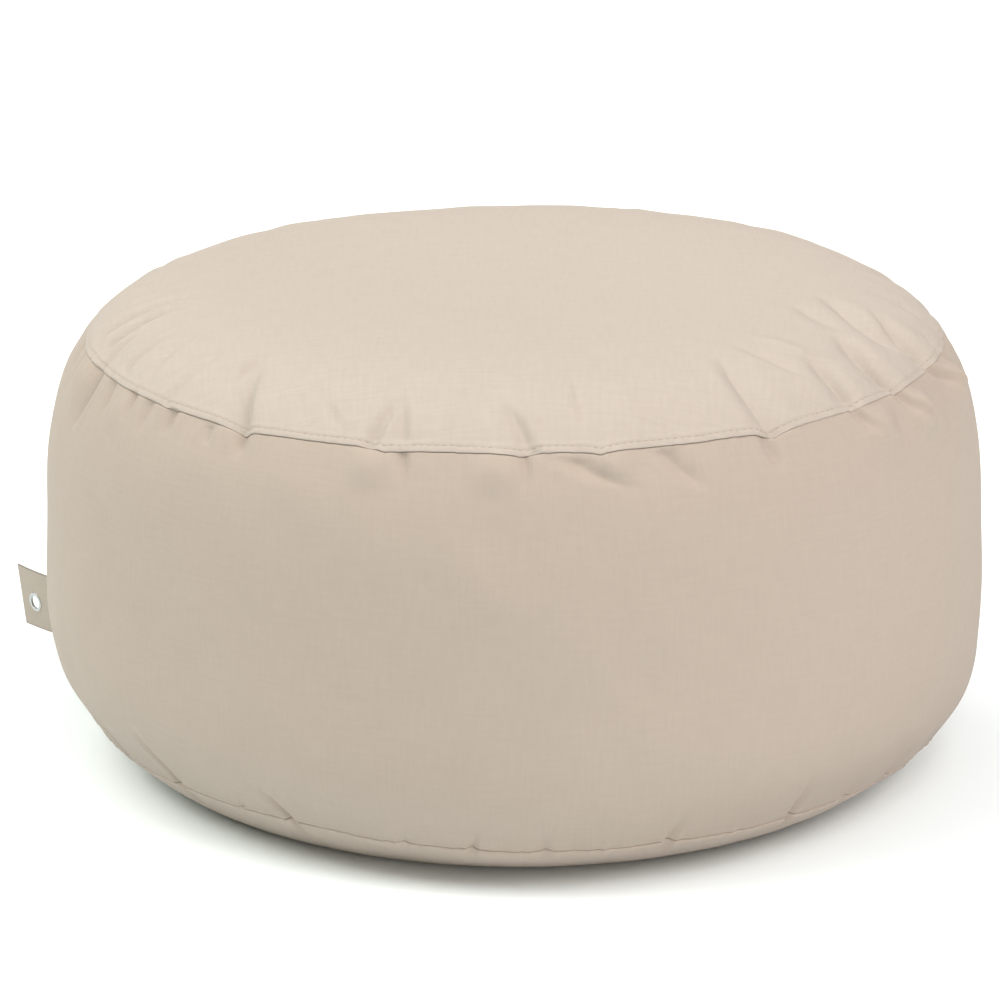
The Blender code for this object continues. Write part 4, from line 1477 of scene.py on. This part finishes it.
@dataclass
class SideTab:
    """The tab with its eyelet, built together."""

    form: BagForm
    finish: CanvasFinish

    def build(self) -> list[Object]:
        """Return the tab and the eyelet, both riding on the footstool."""
        place = TabForm(self.form)
        strip = FoldedTab(place, self.finish)
        tab, ring = strip.build(), Eyelet(place, EyeletFinish()).build()
        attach(tab, BODY)
        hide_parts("tab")
        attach(ring, BODY)
        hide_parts("eyelet")
        return [tab, ring]


# ================================================================ studio
@dataclass(frozen=True)
class SunLamp:
    """A soft light from one side, named by where it stands."""

    name: str
    azimuth: float
    elevation: float
    spread: float
    strength: float
    colour: tuple

    def build(self) -> Object:
        """Return the lamp, shining towards the footstool."""
        data = bpy.data.lights.new(self.name, "SUN")
        data.energy = self.strength
        data.color = self.colour
        data.angle = math.radians(self.spread)
        azimuth, elevation = math.radians(self.azimuth), math.radians(self.elevation)
        towards = Vector((
            math.sin(azimuth) * math.cos(elevation),
            -math.cos(azimuth) * math.cos(elevation),
            math.sin(elevation),
        ))
        lamp = linked(self.name, data)
        lamp.rotation_euler = towards.to_track_quat("Z", "Y").to_euler()
        return lamp


@dataclass
class Studio:
    """The pale floor, the soft lights and the camera."""

    target: tuple = (0.0, 0.0, 0.198)
    distance: float = 4.5
    elevation: float = 17.88
    lens: float = 167.7
    sensor: float = 36.0
    aim_left: float = 0.0154
    aim_up: float = 0.0411
    floor_size: float = 40.0
    floor_shade: tuple = (0.88, 0.96, 0.98)
    floor_roughness: float = 0.9
    world_shade: tuple = (1.0, 1.0, 1.0)
    world_strength: float = 0.01
    lamps: tuple = (
        SunLamp("left_high", -75.0, 55.0, 30.0, 1.10, (1.00, 0.98, 0.93)),
        SunLamp("left_key", -90.0, 40.0, 25.0, 0.72, (0.99, 1.00, 0.94)),
        SunLamp("left_rim", -105.0, 20.0, 60.0, 0.11, (0.74, 1.00, 0.91)),
        SunLamp("left_rear", -125.0, 40.0, 60.0, 1.63, (1.00, 0.95, 0.89)),
        SunLamp("front_low", 0.0, 10.0, 60.0, 0.61, (1.00, 0.88, 0.76)),
        SunLamp("over_light", 0.0, 90.0, 60.0, 0.92, (1.00, 1.00, 1.00)),
        SunLamp("right_front", 30.0, 25.0, 40.0, 0.74, (1.00, 0.89, 0.84)),
        SunLamp("right_key", 48.0, 55.0, 40.0, 1.41, (1.00, 0.93, 0.90)),
        SunLamp("right_low", 75.0, 10.0, 60.0, 0.16, (1.00, 0.79, 0.93)),
        SunLamp("right_side", 75.0, 40.0, 40.0, 1.04, (1.00, 0.92, 0.91)),
    )

    def build_floor(self) -> Object:
        """Return the plain pale floor."""
        half = self.floor_size / 2
        corners = [(-half, -half, 0.0), (half, -half, 0.0), (half, half, 0.0), (-half, half, 0.0)]
        floor = mesh_piece("studio_floor", corners, [(0, 1, 2, 3)])
        board = NodeBoard("studio_floor")
        shade = (*self.floor_shade, 1.0)
        board.surface({"Base Color": shade, "Roughness": self.floor_roughness, "Specular IOR Level": 0.0})
        floor.data.materials.append(board.material)
        return floor

    def build_world(self) -> None:
        """Light the room evenly from all around."""
        world = bpy.data.worlds.new("studio")
        world.use_nodes = True
        background = world.node_tree.nodes["Background"]
        background.inputs["Color"].default_value = (*self.world_shade, 1.0)
        background.inputs["Strength"].default_value = self.world_strength
        bpy.context.scene.world = world

    def build_camera(self) -> Object:
        """Return the camera, at the picture's angle and distance."""
        elevation = math.radians(self.elevation)
        back = Vector((0.0, -math.cos(elevation), math.sin(elevation)))
        up = Vector((0.0, math.sin(elevation), math.cos(elevation)))
        target = Vector(self.target)
        aim = target - Vector((1.0, 0.0, 0.0)) * self.aim_left + up * self.aim_up
        data = bpy.data.cameras.new("camera")
        data.lens = self.lens
        data.sensor_width = self.sensor
        camera = linked("camera", data)
        camera.location = target + back * self.distance
        camera.rotation_euler = (aim - camera.location).to_track_quat("-Z", "Y").to_euler()
        bpy.context.scene.camera = camera
        return camera

    def build(self) -> None:
        """Set up the whole studio."""
        self.build_camera()
        self.build_floor()
        self.build_world()
        for lamp in self.lamps:
            lamp.build()
        settings = bpy.context.scene.view_settings
        settings.view_transform = "Standard"
        settings.look = "None"


def main() -> None:
    """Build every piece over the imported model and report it."""
    logging.basicConfig(level=logging.INFO, format="%(message)s")
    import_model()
    Studio().build()
    form = BagForm()
    top = TopPanel(form, TOP_CANVAS)
    pieces = [
        top.build(),
        SideBand(form, BAND_CANVAS).build(),
        BasePanel(form, BASE_CANVAS).build(),
        Topstitching(top, ThreadFinish()).build(),
        *SideTab(form, TAB_CANVAS).build(),
    ]
    for piece in pieces:
        LOG.info("%s: %d faces", piece.name, len(piece.data.polygons))


if __name__ == "__main__":
    main()
